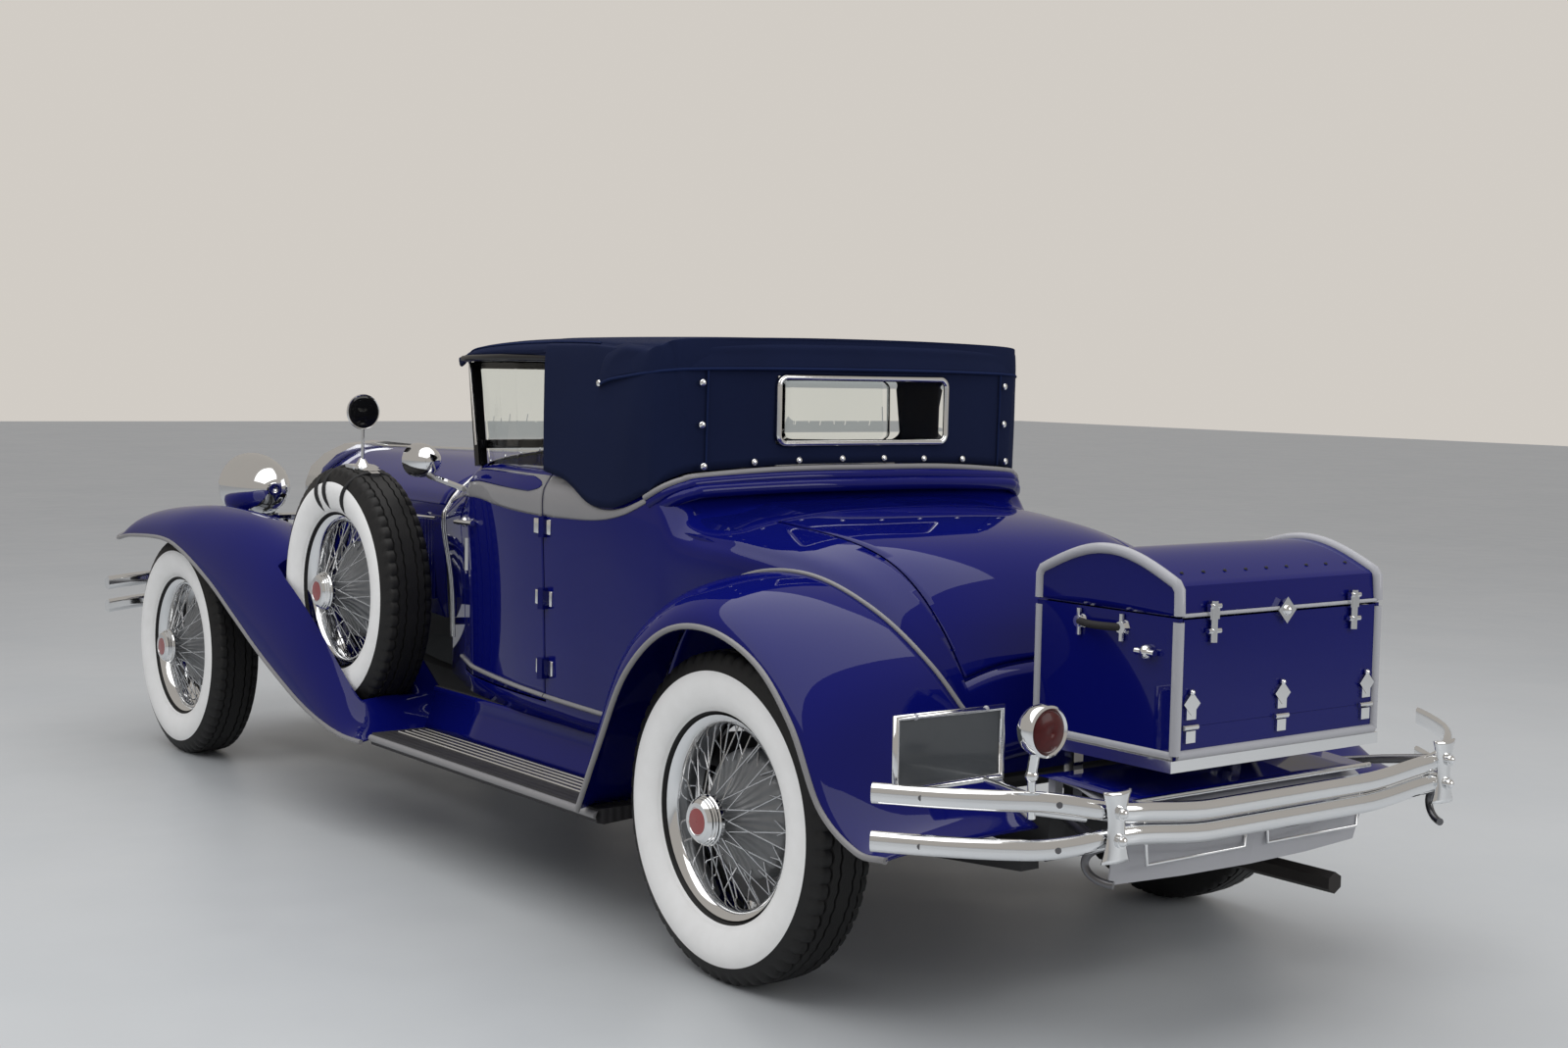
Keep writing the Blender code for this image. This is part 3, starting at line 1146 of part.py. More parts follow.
def mirrors():
    """Round mirrors standing on the spare tyres, each on a clamp held by straps."""
    for side, sign in (("left", 1), ("right", -1)):
        top = SPARE_Z + TYRE_RADIUS
        x, y = sign * SPARE_X, SPARE_Y + 0.045
        saddle = []
        reach = TYRE_RADIUS + 2 * GAP
        quarter = ROUND_SIDES // 4
        for k in (quarter - 1, quarter, quarter + 1):
            angle = 2 * math.pi * k / ROUND_SIDES
            saddle.append([Vector((x + sign * dx, SPARE_Y + (reach + dr) * math.cos(angle),
                                   SPARE_Z + (reach + dr) * math.sin(angle)))
                           for dx, dr in ((-0.060, 0.0), (0.060, 0.0), (0.050, 0.014), (-0.050, 0.014))])
        clamp = bmesh.new()
        ring_loft(clamp, saddle)
        stem = bmesh.new()
        rod(stem, (x, y, top), (x, y + 0.010, 1.275), 0.008, 6)
        glass = bmesh.new()
        head = [(y - 0.010, 0.030), (y + 0.004, MIRROR_RADIUS), (y + 0.016, MIRROR_RADIUS)]
        turned(glass, head, 10, (x, 0, 1.309), 'Y')
        joined("mirror_" + side, [clamp, stem, glass], CHROME, 0.1, 1.0)


def rear_details():
    """Tank cover below the rack, and the tail pipe on its hangers."""
    top, low = 0.560, 0.372
    grid = []
    for y, z, half, bend in ((0.664, top + 0.012, 0.405, 0.0), (0.800, top + 0.004, 0.415, 0.020),
                             (0.900, top - 0.018, 0.425, 0.035), (0.930, top - 0.040, 0.430, 0.035),
                             (0.935, (top + low) / 2, 0.430, 0.035), (0.915, low, 0.420, 0.035)):
        grid.append([Vector((half * t, y - bend * t * t, z)) for t in (-1, -0.5, 0, 0.5, 1)])
    cover = bmesh.new()
    grid_sheet(cover, grid, offset_grid(grid, -SKIN))
    bodies = [cover]
    for sign in (1, -1):
        bm = bmesh.new()
        block(bm, (sign * 0.385 - 0.012, 0.668, 0.5001), (sign * 0.385 + 0.012, 0.690, top + 0.0136))
        bodies.append(bm)
    joined("tank_cover", bodies, GREY, 0.2, 1.0)
    pipe = bmesh.new()
    rod(pipe, (EXHAUST_X, -0.76, EXHAUST_Z), (EXHAUST_X, 0.960, EXHAUST_Z), 0.026, 6)
    bodies = [pipe]
    for y, bottom in ((-0.700, 0.360), (0.650, 0.413)):
        bm = bmesh.new()
        block(bm, (EXHAUST_X - 0.008, y - 0.015, EXHAUST_Z), (EXHAUST_X + 0.008, y + 0.015, bottom - GAP))
        bodies.append(bm)
    joined("exhaust_pipe", bodies, BLACK, 0.5)


inner_volume = body_tub()
doors(inner_volume)
door_windows()
rumble_lid(inner_volume)
bonnet()
radiator()
fenders()
running_boards()
wheels()
chassis()
axles()
steering()
engine()
front_apron()
windshield()
soft_top()
rear_window()
hand_wheel(cabin())
trunk()
rack()
bumpers()
lamps()
tail_lamp()
number_plate()
mirrors()
rear_details()
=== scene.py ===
"""The looks of a vintage front-wheel-drive convertible with a closed canvas top and a rear trunk.

The numbers of each piece are drawn in metres with the rear axle at y = 0, the nose to -Y and the
car's left side to +X; settle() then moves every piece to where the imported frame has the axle.
"""
import math

import bmesh
import bpy
from mathutils import Matrix, Vector


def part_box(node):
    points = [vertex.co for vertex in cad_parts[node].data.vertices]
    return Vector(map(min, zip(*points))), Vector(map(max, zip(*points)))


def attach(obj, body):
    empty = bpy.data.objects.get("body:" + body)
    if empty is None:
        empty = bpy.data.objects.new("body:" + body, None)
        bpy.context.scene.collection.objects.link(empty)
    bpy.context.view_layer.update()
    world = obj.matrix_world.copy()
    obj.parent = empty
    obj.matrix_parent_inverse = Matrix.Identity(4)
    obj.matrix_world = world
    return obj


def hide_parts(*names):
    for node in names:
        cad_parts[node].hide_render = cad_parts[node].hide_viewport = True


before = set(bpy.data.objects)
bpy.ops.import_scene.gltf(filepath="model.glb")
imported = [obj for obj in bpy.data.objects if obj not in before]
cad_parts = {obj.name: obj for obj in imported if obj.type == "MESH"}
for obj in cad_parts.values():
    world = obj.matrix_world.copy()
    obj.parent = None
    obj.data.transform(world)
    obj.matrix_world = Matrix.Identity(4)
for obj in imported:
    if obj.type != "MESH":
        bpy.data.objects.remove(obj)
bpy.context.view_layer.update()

# The studio: a pale floor in front of plain pale walls, evenly lit from the sky and softened by
# one large lamp overhead. The camera stands where the photographer stood, behind the left side.
camera = bpy.data.objects.new("camera", bpy.data.cameras.new("camera"))
bpy.context.scene.collection.objects.link(camera)
bpy.context.scene.camera = camera
camera.data.sensor_width = 36.0
camera.data.lens = 47.45
eye = (3.6693, 5.5685, 1.4791)
yaw, pitch, roll = math.radians(37.306), math.radians(4.332), math.radians(1.104)
ahead = Vector((-math.sin(yaw) * math.cos(pitch), -math.cos(yaw) * math.cos(pitch), -math.sin(pitch)))
level = ahead.cross(Vector((0, 0, 1))).normalized()
rise = level.cross(ahead)
across = level * math.cos(roll) + rise * math.sin(roll)
upward = rise * math.cos(roll) - level * math.sin(roll)
camera.matrix_world = Matrix.Translation(eye) @ Matrix((across, upward, -ahead)).transposed().to_4x4()
bpy.context.scene.view_settings.view_transform = 'Standard'


class Shade:
    """A socket of a material's nodes. Sums on it add Math nodes, and node() adds any other node."""

    def __init__(self, tree, socket=None):
        self.tree, self.socket = tree, socket

    def node(self, kind, settings, inputs, output=0):
        made = self.tree.nodes.new(kind)
        for key, value in settings.items():
            if key == "stops":
                ramp = made.color_ramp
                while len(ramp.elements) < len(value):
                    ramp.elements.new(0.5)
                for stop, (place, shade) in zip(ramp.elements, value):
                    stop.position, stop.color = place, (*shade, 1.0)
            else:
                setattr(made, key, value)
        for key, value in inputs.items():
            if isinstance(value, Shade):
                self.tree.links.new(value.socket, made.inputs[key])
            else:
                made.inputs[key].default_value = value
        return Shade(self.tree, made.outputs[output])

    def sum(self, first, second, operation):
        return self.node("ShaderNodeMath", {"operation": operation}, {0: first, 1: second})

    def one(self, operation):
        return self.node("ShaderNodeMath", {"operation": operation}, {0: self})

    def __add__(self, other):
        return self.sum(self, other, 'ADD')

    def __radd__(self, other):
        return self.sum(other, self, 'ADD')

    def __sub__(self, other):
        return self.sum(self, other, 'SUBTRACT')

    def __rsub__(self, other):
        return self.sum(other, self, 'SUBTRACT')

    def __mul__(self, other):
        return self.sum(self, other, 'MULTIPLY')

    def __rmul__(self, other):
        return self.sum(other, self, 'MULTIPLY')

    def __truediv__(self, other):
        return self.sum(self, other, 'DIVIDE')

    def __gt__(self, other):
        return self.sum(self, other, 'GREATER_THAN')

    def __lt__(self, other):
        return self.sum(self, other, 'LESS_THAN')


def place_of(start):
    """The point being shaded, in the object's own coordinates."""
    return start.node("ShaderNodeTexCoord", {}, {}, "Object")


def cloud(start, scale, detail=3.0, stretch=(1.0, 1.0, 1.0)):
    """Soft noise, a value around one half; stretch draws it out along an axis."""
    where = place_of(start).node("ShaderNodeVectorMath", {"operation": 'MULTIPLY'},
        {0: place_of(start), 1: stretch})
    return start.node("ShaderNodeTexNoise", {}, {"Vector": where, "Scale": scale, "Detail": detail})


def tinted(start, share, low, high):
    """A colour between two others by a value."""
    return start.node("ShaderNodeMix", {"data_type": 'RGBA'}, {0: share, 6: (*low, 1.0), 7: (*high, 1.0)},
        2)


def new_finish(name, constants):
    """A material whose surface shader has these constants; returns it and the start of its maths."""
    material = bpy.data.materials.new(name)
    material.use_nodes = True
    shader = material.node_tree.nodes["Principled BSDF"]
    for key, value in constants.items():
        shader.inputs[key].default_value = value
    return material, Shade(material.node_tree)


def feed(material, socket, shade):
    """Joins a value to a socket of the material's surface shader."""
    shader = material.node_tree.nodes["Principled BSDF"]
    material.node_tree.links.new(shade.socket, shader.inputs[socket])


def finish_of(name, constants, grain, low, high, spread=0.0, rough=0.0):
    """A material coloured by soft noise between two colours; the noise may set its roughness too."""
    material, start = new_finish(name, constants)
    pattern = cloud(start, *grain)
    feed(material, "Base Color", tinted(start, pattern, low, high))
    if spread:
        feed(material, "Roughness", pattern * spread + rough)
    return material, start, pattern


def dent(material, start, height, distance, strength=0.5):
    """Raises the surface by a height pattern."""
    feed(material, "Normal", start.node("ShaderNodeBump", {}, {"Strength": strength, "Distance": distance,
        "Height": height}))


floor_mesh = bmesh.new()
bmesh.ops.create_grid(floor_mesh, x_segments=1, y_segments=1, size=40.0)
floor_data = bpy.data.meshes.new("studio_floor")
floor_mesh.to_mesh(floor_data)
studio_floor = bpy.data.objects.new("studio_floor", floor_data)
bpy.context.scene.collection.objects.link(studio_floor)
floor_finish, start = new_finish("studio_floor_paint", {"Roughness": 0.38})
feed(floor_finish, "Base Color", tinted(start, cloud(start, 0.9, 6.0), (0.47, 0.49, 0.5),
    (0.56, 0.57, 0.57)))
feed(floor_finish, "Roughness", cloud(start, 5.0, 4.0) * 0.18 + 0.3)
floor_data.materials.append(floor_finish)

world = bpy.data.worlds.new("studio_world")
bpy.context.scene.world = world
world.use_nodes = True
start = Shade(world.node_tree)
ray = world.node_tree.nodes.new("ShaderNodeLightPath")
direct = Shade(world.node_tree, ray.outputs["Is Camera Ray"]) + Shade(world.node_tree,
    ray.outputs["Is Transmission Ray"])
mirrored = Shade(world.node_tree, ray.outputs["Is Glossy Ray"])
sky = start.node("ShaderNodeMix", {"data_type": 'RGBA', "clamp_factor": True},
    {0: mirrored, 6: (0.6, 0.61, 0.64, 1.0), 7: (0.4, 0.375, 0.345, 1.0)}, 2)
sky = start.node("ShaderNodeMix", {"data_type": 'RGBA', "clamp_factor": True},
    {0: direct, 6: sky, 7: (0.64, 0.605, 0.56, 1.0)}, 2)
backdrop = world.node_tree.nodes["Background"]
world.node_tree.links.new(sky.socket, backdrop.inputs["Color"])
backdrop.inputs["Strength"].default_value = 1.0
for name, power, size, place, aim in (("lamp_overhead", 250.0, (6.0, 9.0), (1.0, 0.5, 5.2),
        (0.0, 0.2, 0.0)), ("lamp_behind", 110.0, (4.0, 3.0), (-2.5, 7.5, 3.4), (0.0, 0.0, 0.6))):
    lamp = bpy.data.lights.new(name, 'AREA')
    lamp.shape = 'RECTANGLE'
    lamp.size, lamp.size_y = size
    lamp.energy = power
    holder = bpy.data.objects.new(name, lamp)
    bpy.context.scene.collection.objects.link(holder)
    facing = (Vector(aim) - Vector(place)).to_track_quat('-Z', 'Y')
    holder.matrix_world = Matrix.Translation(place) @ facing.to_matrix().to_4x4()

# The ladder frame under the body: pressed steel rails with cross members, brush painted black
# and lightly dusted. The axles, their springs, the engine block and the tail pipe hang from it.
def black_iron(name, base, rough):
    """Old black chassis paint: satin, a little dusty and pitted."""
    dusty = tuple(c * 1.9 + 0.006 for c in base)
    material, start, _ = finish_of(name, {"Specular IOR Level": 0.4}, (9.0, 5.0), base, dusty, 0.25, rough)
    dent(material, start, cloud(start, 260.0, 3.0), 0.0004, 0.35)
    return material


def dress(node, material):
    """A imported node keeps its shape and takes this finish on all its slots."""
    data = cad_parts[node].data
    if not data.materials:
        data.materials.append(material)
    for slot in range(len(data.materials)):
        data.materials[slot] = material


chassis_black = black_iron("chassis_black", (0.012, 0.012, 0.013), 0.42)
for node in ("chassis_frame", "front_axle", "rear_axle", "knuckle_left", "knuckle_right", "tie_rod"):
    dress(node, chassis_black)
dress("exhaust_pipe", black_iron("pipe_rust", (0.013, 0.011, 0.01), 0.6))
dress("engine", black_iron("engine_grey", (0.055, 0.058, 0.06), 0.45))

# Tyres: black rubber with a cut block tread, broad white side wall on the outside only, with a
# fine raised ring where the white ends.
AXLE_Y = (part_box("tyre_rear_left")[0][1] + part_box("tyre_rear_left")[1][1]) / 2
AXLE_FRONT, HUB_Z, WHITE_R, BLOCKS, SHOULDER = -3.4925, 0.402, 0.354, 84.0, 0.046
SPARE_X, SPARE_Y, SPARE_Z = 0.69, -2.262, 0.726
WHEELS = [("front_left", 0.745, AXLE_FRONT, HUB_Z, 1, "front_wheel_left"),
    ("front_right", -0.745, AXLE_FRONT, HUB_Z, -1, "front_wheel_right"),
    ("rear_left", 0.754, 0.0, HUB_Z, 1, "rear_wheel_left"),
    ("rear_right", -0.754, 0.0, HUB_Z, -1, "rear_wheel_right"),
    ("spare_left", SPARE_X, SPARE_Y, SPARE_Z, 1, "body"),
    ("spare_right", -SPARE_X, SPARE_Y, SPARE_Z, -1, "body")]


def settle(name, bm, material, body, replaced=(), sharp=40.0, shell=0.0):
    """Turns a finished mesh into a piece of the car: moved onto the frame, smooth shaded, and riding."""
    bmesh.ops.remove_doubles(bm, verts=bm.verts, dist=0.00002)
    bmesh.ops.recalc_face_normals(bm, faces=bm.faces)
    bmesh.ops.translate(bm, verts=bm.verts, vec=(0.0, AXLE_Y, 0.0))
    for face in bm.faces:
        face.smooth = True
    for edge in bm.edges:
        if len(edge.link_faces) == 2 and edge.calc_face_angle(0.0) > math.radians(sharp):
            edge.smooth = False
    data = bpy.data.meshes.new(name)
    bm.to_mesh(data)
    bm.free()
    data.materials.append(material)
    piece = bpy.data.objects.new(name, data)
    bpy.context.scene.collection.objects.link(piece)
    if shell:
        wall = piece.modifiers.new("wall", 'SOLIDIFY')
        wall.thickness, wall.offset = shell, -1.0
    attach(piece, body)
    if replaced:
        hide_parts(*replaced)
    return piece


def spun(bm, profile, centre, axis, steps, closed=False, side=1):
    """Spins (distance along the axis, radius) points a full turn about an axis through centre."""
    other = Vector((0, 0, 1))
    along = Vector(axis)
    chain = [bm.verts.new(Vector(centre) + along * a * side + other * r) for a, r in profile]
    pairs = list(zip(chain, chain[1:])) + ([(chain[-1], chain[0])] if closed else [])
    edges = [bm.edges.new(pair) for pair in pairs]
    bmesh.ops.spin(bm, geom=chain + edges, cent=centre, axis=along, angle=2 * math.pi, steps=steps,
        use_merge=True)


def wheel_axes(start, centre):
    """The place being shaded as x, y and z from a wheel's centre."""
    away = start.node("ShaderNodeVectorMath", {"operation": 'SUBTRACT'},
        {0: place_of(start), 1: (centre[0], centre[1] + AXLE_Y, centre[2])})
    split = away.tree.nodes.new("ShaderNodeSeparateXYZ")
    away.tree.links.new(away.socket, split.inputs[0])
    return [Shade(away.tree, split.outputs[k]) for k in range(3)]


def rubber_and_white(name, centre, side):
    """Tyre finish: the white band is a ring on the outer side, the tread has cut edge blocks."""
    material, start = new_finish(name, {"Specular IOR Level": 0.35})
    x, y, z = wheel_axes(start, centre)
    radius, turn, edge = (y * y + z * z).one('SQRT'), z.sum(z, y, 'ARCTAN2'), x.one('ABSOLUTE')
    band = (radius < WHITE_R) * (radius > 0.256) * ((x * side) > 0.02)
    grime = cloud(start, 22.0, 6.0)
    black = tinted(start, grime, (0.006, 0.006, 0.007), (0.016, 0.0155, 0.015))
    white = tinted(start, grime, (0.93, 0.92, 0.9), (0.84, 0.83, 0.8))
    feed(material, "Base Color", start.node("ShaderNodeMix", {"data_type": 'RGBA'},
        {0: band, 6: black, 7: white}, 2))
    feed(material, "Roughness", grime * 0.15 + 0.5)
    cuts = ((turn * BLOCKS).one('SINE') < -0.35) * (edge > SHOULDER) * (radius > 0.372)
    ribs = ((turn * BLOCKS + edge * 900.0).one('SINE') < -0.55) * (edge < SHOULDER) * (radius > 0.39)
    ring = (radius > WHITE_R) * (radius < WHITE_R + 0.004) + (radius > 0.262) * (radius < 0.265)
    dent(material, start, ring * 0.3 - cuts - ribs * 0.7 + grime * 0.04, 0.004, 0.8)
    return material


for name, x, y, z, side, body in WHEELS:
    bm = bmesh.new()
    centre = (x, y, z)
    outer = [(0.052, 0.2475), (0.06, 0.251), (0.071, 0.257), (0.083, 0.275), (0.0915, 0.3),
        (0.0945, 0.322), (0.0925, 0.342), (0.0885, 0.353), (0.0875, 0.3555), (0.084, 0.364),
        (0.079, 0.376), (0.0735, 0.387), (0.07, 0.3925), (0.066, 0.3965), (0.062, 0.3985)]
    tread = [(0.049, 0.4005), (0.0475, 0.3945), (0.0445, 0.3945), (0.043, 0.4008), (0.0235, 0.4017),
        (0.022, 0.395), (0.019, 0.395), (0.0175, 0.4018), (0.0015, 0.4019)]
    half = outer + tread
    profile = half + [(-a, r) for a, r in reversed(half)]
    steps = 240
    spun(bm, profile, centre, (1, 0, 0), steps, True, side)
    for corner in bm.verts:
        out = corner.co - Vector(centre)
        reach, wide = math.hypot(out.y, out.z), abs(out.x)
        step = round(math.atan2(out.z, out.y) / (2 * math.pi / steps)) % 4
        if step == 0 and reach > 0.385 and 0.045 < wide < 0.076:
            corner.co -= Vector((0.0, out.y, out.z)) * (0.0075 / reach)
        elif reach > 0.39 and wide < 0.0445:
            corner.co.x += 0.0022 * (1, 0, -1, 0)[step]
    finish = rubber_and_white("tyre_rubber_" + name, centre, side)
    settle("tyre_dressed_" + name, bm, finish, body, ("tyre_" + name,), 50.0)

# Wire wheels: a rolled drop-centre rim with a bright outer ring, crossing steel spokes in two
# rows, a ribbed grey brake drum behind them and a plain stepped hub cap with a red centre.
def turned(name, profile, centre, axis, steps, material, body, replaced=(), sharp=40.0,
        shell=0.0, closed=False, side=1):
    """A piece turned from one profile."""
    bm = bmesh.new()
    spun(bm, profile, centre, axis, steps, closed, side)
    return settle(name, bm, material, body, replaced, sharp, shell)


def bright_metal(name, base, rough, wear=0.05):
    """Polished plate: mirror bright, with faint wiping marks."""
    wiped = tuple(c * 0.93 for c in base)
    material, start, _ = finish_of(name, {"Metallic": 1.0}, (7.0, 5.0), wiped, base, wear, rough)
    dent(material, start, cloud(start, 60.0, 2.0), 0.0002, 0.1)
    return material


def ribbed_drum(name, centre):
    """Grey enamelled drum with cooling ribs that run out from the hub."""
    material, start, _ = finish_of(name, {"Metallic": 0.35}, (30.0, 5.0), (0.15, 0.155, 0.16),
        (0.24, 0.245, 0.25), 0.2, 0.33)
    _, y, z = wheel_axes(start, centre)
    dent(material, start, (z.sum(z, y, 'ARCTAN2') * 30.0).one('SINE'), 0.003, 0.5)
    return material


def cone(bm, sides, foot, tip, depth, where):
    """A round or many-sided peg: its radius at the foot and at the tip, its length and its place."""
    return bmesh.ops.create_cone(bm, cap_ends=True, segments=sides, radius1=foot, radius2=tip,
        depth=depth, matrix=where)


def stick(bm, foot, tip, radius, sides):
    """A straight round bar between two points."""
    foot, tip = Vector(foot), Vector(tip)
    facing = (tip - foot).to_track_quat('Z', 'Y').to_matrix().to_4x4()
    cone(bm, sides, radius, radius, (tip - foot).length, Matrix.Translation((foot + tip) / 2) @ facing)


SPOKES, RIM_SEAT = 28, 0.2225
chrome = bright_metal("chrome_plate", (0.86, 0.87, 0.88), 0.05)
spoke_steel = bright_metal("spoke_steel", (0.62, 0.63, 0.65), 0.18, 0.12)
cap_red = finish_of("cap_red_enamel", {"Coat Weight": 1.0, "Coat Roughness": 0.05}, (60.0, 3.0),
    (0.23, 0.01, 0.01), (0.3, 0.017, 0.015), 0.1, 0.3)[0]
for name, x, y, z, side, body in WHEELS:
    centre = Vector((x, y, z))
    rim_profile = [(0.059, 0.244), (0.06, 0.2462), (0.0575, 0.247), (0.052, 0.2464),
        (0.052, 0.2448), (0.044, 0.23), (0.03, 0.2262), (0.0, 0.22), (-0.03, 0.2262),
        (-0.052, 0.2448), (-0.052, 0.2464), (-0.0575, 0.247), (-0.059, 0.244), (-0.048, 0.227),
        (-0.032, 0.2215), (0.0, 0.215), (0.032, 0.2215), (0.048, 0.227), (0.054, 0.234)]
    turned("rim_" + name, rim_profile, centre, (1, 0, 0), 72, chrome, body, ("wheel_" + name,),
        35.0, closed=True, side=side)
    bm = bmesh.new()
    for row, (hub_x, hub_r, rim_x, lean) in enumerate(((0.094, 0.05, 0.014, 0.44),
            (0.004, 0.132, -0.01, 0.26))):
        for k in range(SPOKES):
            angle = 2 * math.pi * (k + 0.25 * row) / SPOKES
            twist, odd = angle + (lean if k % 2 else -lean), k % 2
            foot = centre + Vector((side * (hub_x + 0.004 * odd), hub_r * math.cos(twist),
                hub_r * math.sin(twist)))
            tip = centre + Vector((side * (rim_x + 0.006 * odd), RIM_SEAT * math.cos(angle),
                RIM_SEAT * math.sin(angle)))
            stick(bm, foot, tip, 0.0019, 6)
            stick(bm, tip.lerp(foot, 0.035), tip, 0.0034, 6)
    settle("spokes_" + name, bm, spoke_steel, body)
    drum = [(-0.06, 0.001), (-0.06, 0.155), (-0.052, 0.158), (-0.014, 0.158), (-0.004, 0.155),
        (0.002, 0.146), (0.01, 0.122), (0.022, 0.098), (0.034, 0.078), (0.048, 0.06), (0.062, 0.052),
        (0.086, 0.05), (0.106, 0.054), (0.107, 0.001)]
    turned("drum_" + name, drum, centre, (1, 0, 0), 60, ribbed_drum("drum_grey_" + name, centre), body,
        side=side)
    cap = [(0.102, 0.001), (0.102, 0.061), (0.112, 0.062), (0.116, 0.0595), (0.12, 0.0595),
        (0.1225, 0.057), (0.126, 0.0565), (0.129, 0.0535), (0.1325, 0.053), (0.1365, 0.049),
        (0.1405, 0.044), (0.1415, 0.034), (0.14, 0.033), (0.14, 0.001)]
    turned("hub_cap_" + name, cap, centre, (1, 0, 0), 60, chrome, body, sharp=28.0, side=side)
    button = [(0.1396, 0.001), (0.1396, 0.0318), (0.141, 0.0312), (0.1416, 0.022), (0.142, 0.001)]
    turned("hub_centre_" + name, button, centre, (1, 0, 0), 40, cap_red, body, side=side)

# The body shell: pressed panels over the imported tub, lacquered deep cobalt blue and polished. The
# skin is drawn once from the coachbuilder's stations, then cut along the doors, lid and cockpit.
SKIN_LIFT = 0.0022
STATIONS = [(-2.06, 0.48, 0.44, 0.46, 1.02, 1.178), (-1.735, 0.577, 0.557, 0.46, 1.11, 1.206),
    (-1.632, 0.605, 0.59, 0.46, 1.16, 1.215), (-1.35, 0.645, 0.63, 0.46, 1.165, 1.215),
    (-1.1, 0.66, 0.645, 0.46, 1.165, 1.215), (-0.8, 0.662, 0.645, 0.46, 1.165, 1.215),
    (-0.56, 0.65, 0.64, 0.52, 1.15, 1.205), (-0.48, 0.645, 0.63, 0.62, 1.06, 1.125),
    (-0.25, 0.625, 0.61, 0.64, 1.03, 1.105), (0.0, 0.59, 0.58, 0.64, 0.995, 1.08),
    (0.15, 0.56, 0.555, 0.64, 0.95, 1.035), (0.27, 0.53, 0.53, 0.64, 0.87, 0.945),
    (0.38, 0.495, 0.5, 0.59, 0.74, 0.8), (0.44, 0.47, 0.475, 0.56, 0.62, 0.66),
    (0.47, 0.45, 0.455, 0.54, 0.56, 0.58)]
DOOR_FRONT, DOOR_REAR, DOOR_SILL, SCREEN_FOOT, BELT = -1.78, -1.12, 0.515, -1.632, 1.165
LID = [(-0.45, -0.28), (0.45, -0.28), (0.4, 0.385), (-0.4, 0.385)]
COCKPIT_HALF, COCKPIT_FRONT, COCKPIT_REAR = 0.55, -1.577, -0.59


def eased(table, y):
    """Reads a table of (y, value ...) rows along a smooth curve through them."""
    last = len(table) - 2
    k = next((i for i in range(last + 1) if y <= table[i + 1][0]), last)
    low, high = table[k], table[k + 1]
    span = high[0] - low[0]
    t = min(1.0, max(0.0, (y - low[0]) / span))
    before, after = table[max(k - 1, 0)], table[min(k + 2, last + 1)]
    values = []
    for a, b, c, d in zip(before[1:], low[1:], high[1:], after[1:]):
        m0 = (c - a) / (high[0] - before[0]) * span
        m1 = (d - b) / (after[0] - low[0]) * span
        values.append((2 * t ** 3 - 3 * t ** 2 + 1) * b + (t ** 3 - 2 * t ** 2 + t) * m0
            + (3 * t ** 2 - 2 * t ** 3) * c + (t ** 3 - t ** 2) * m1)
    return values


def through(points, s):
    """A point on the smooth curve through a list of points, s counted in spans from the first."""
    last = len(points) - 2
    k = min(max(int(s), 0), last)
    t = s - k
    p1, p2 = Vector(points[k]), Vector(points[k + 1])
    p0 = Vector(points[k - 1]) if k else 2 * p1 - p2
    p3 = Vector(points[k + 2]) if k < last else 2 * p2 - p1
    return 0.5 * (2 * p1 + (p2 - p0) * t + (2 * p0 - 5 * p1 + 4 * p2 - p3) * t * t
        + (3 * p1 - p0 - 3 * p2 + p3) * t ** 3)


def body_point(y, w):
    """The body surface at y; w runs from -6 at the right sill over 0 at the crown to 6 at the left."""
    belt, sill, floor, shoulder, crown = eased(STATIONS, y)
    side, top = shoulder - floor, crown - shoulder
    half = [(sill, floor), (sill + 0.008, floor + 0.5 * side), (belt, floor + 0.86 * side),
        (belt - 0.018, floor + 0.97 * side), (belt - 0.075, shoulder + 0.3 * top),
        (belt * 0.55, shoulder + 0.84 * top), (0.0, crown)]
    half.append((-half[5][0], half[5][1]))
    x, z = through(half, 6.0 - abs(w))
    return Vector((x if w > 0 else -x, y, z))


def shaped_grid(columns, rows, point_at, bm=None):
    """A grid of faces whose corners are laid on a surface given by two shares from 0 to 1."""
    bm = bm or bmesh.new()
    for corner in bmesh.ops.create_grid(bm, x_segments=columns, y_segments=rows, size=1.0)["verts"]:
        corner.co = point_at((corner.co.x + 1) / 2, (corner.co.y + 1) / 2)
    return bm


def outward(bm, heart):
    """Turns all faces of an open sheet away from its heart, a point or a rule from point to point."""
    bmesh.ops.recalc_face_normals(bm, faces=bm.faces)
    lean = 0.0
    for face in bm.faces:
        middle = face.calc_center_median()
        inner = heart(middle) if callable(heart) else Vector(heart)
        lean += face.calc_area() * face.normal.dot(middle - inner)
    if lean < 0:
        bmesh.ops.reverse_faces(bm, faces=bm.faces)


def lifted(bm, amount):
    """Moves a sheet out along its own normals."""
    bm.normal_update()
    moves = [(corner, corner.normal.copy()) for corner in bm.verts]
    for corner, normal in moves:
        corner.co += normal * amount


def cut_at(bm, place, normal):
    """Cuts edges into a sheet where a plane crosses it."""
    bmesh.ops.bisect_plane(bm, geom=bm.verts[:] + bm.edges[:] + bm.faces[:], dist=0.00001, plane_co=place,
        plane_no=normal)


def scored(bm, outline, flat):
    """Cuts edges into a sheet along an outline; flat is the axis the outline is seen along."""
    for (a0, b0), (a1, b1) in zip(outline, outline[1:] + outline[:1]):
        if flat == 'X':
            place, normal = (0.0, a0, b0), (0.0, b1 - b0, a0 - a1)
        else:
            place, normal = (a0, b0, 0.0), (b1 - b0, a0 - a1, 0.0)
        cut_at(bm, place, normal)


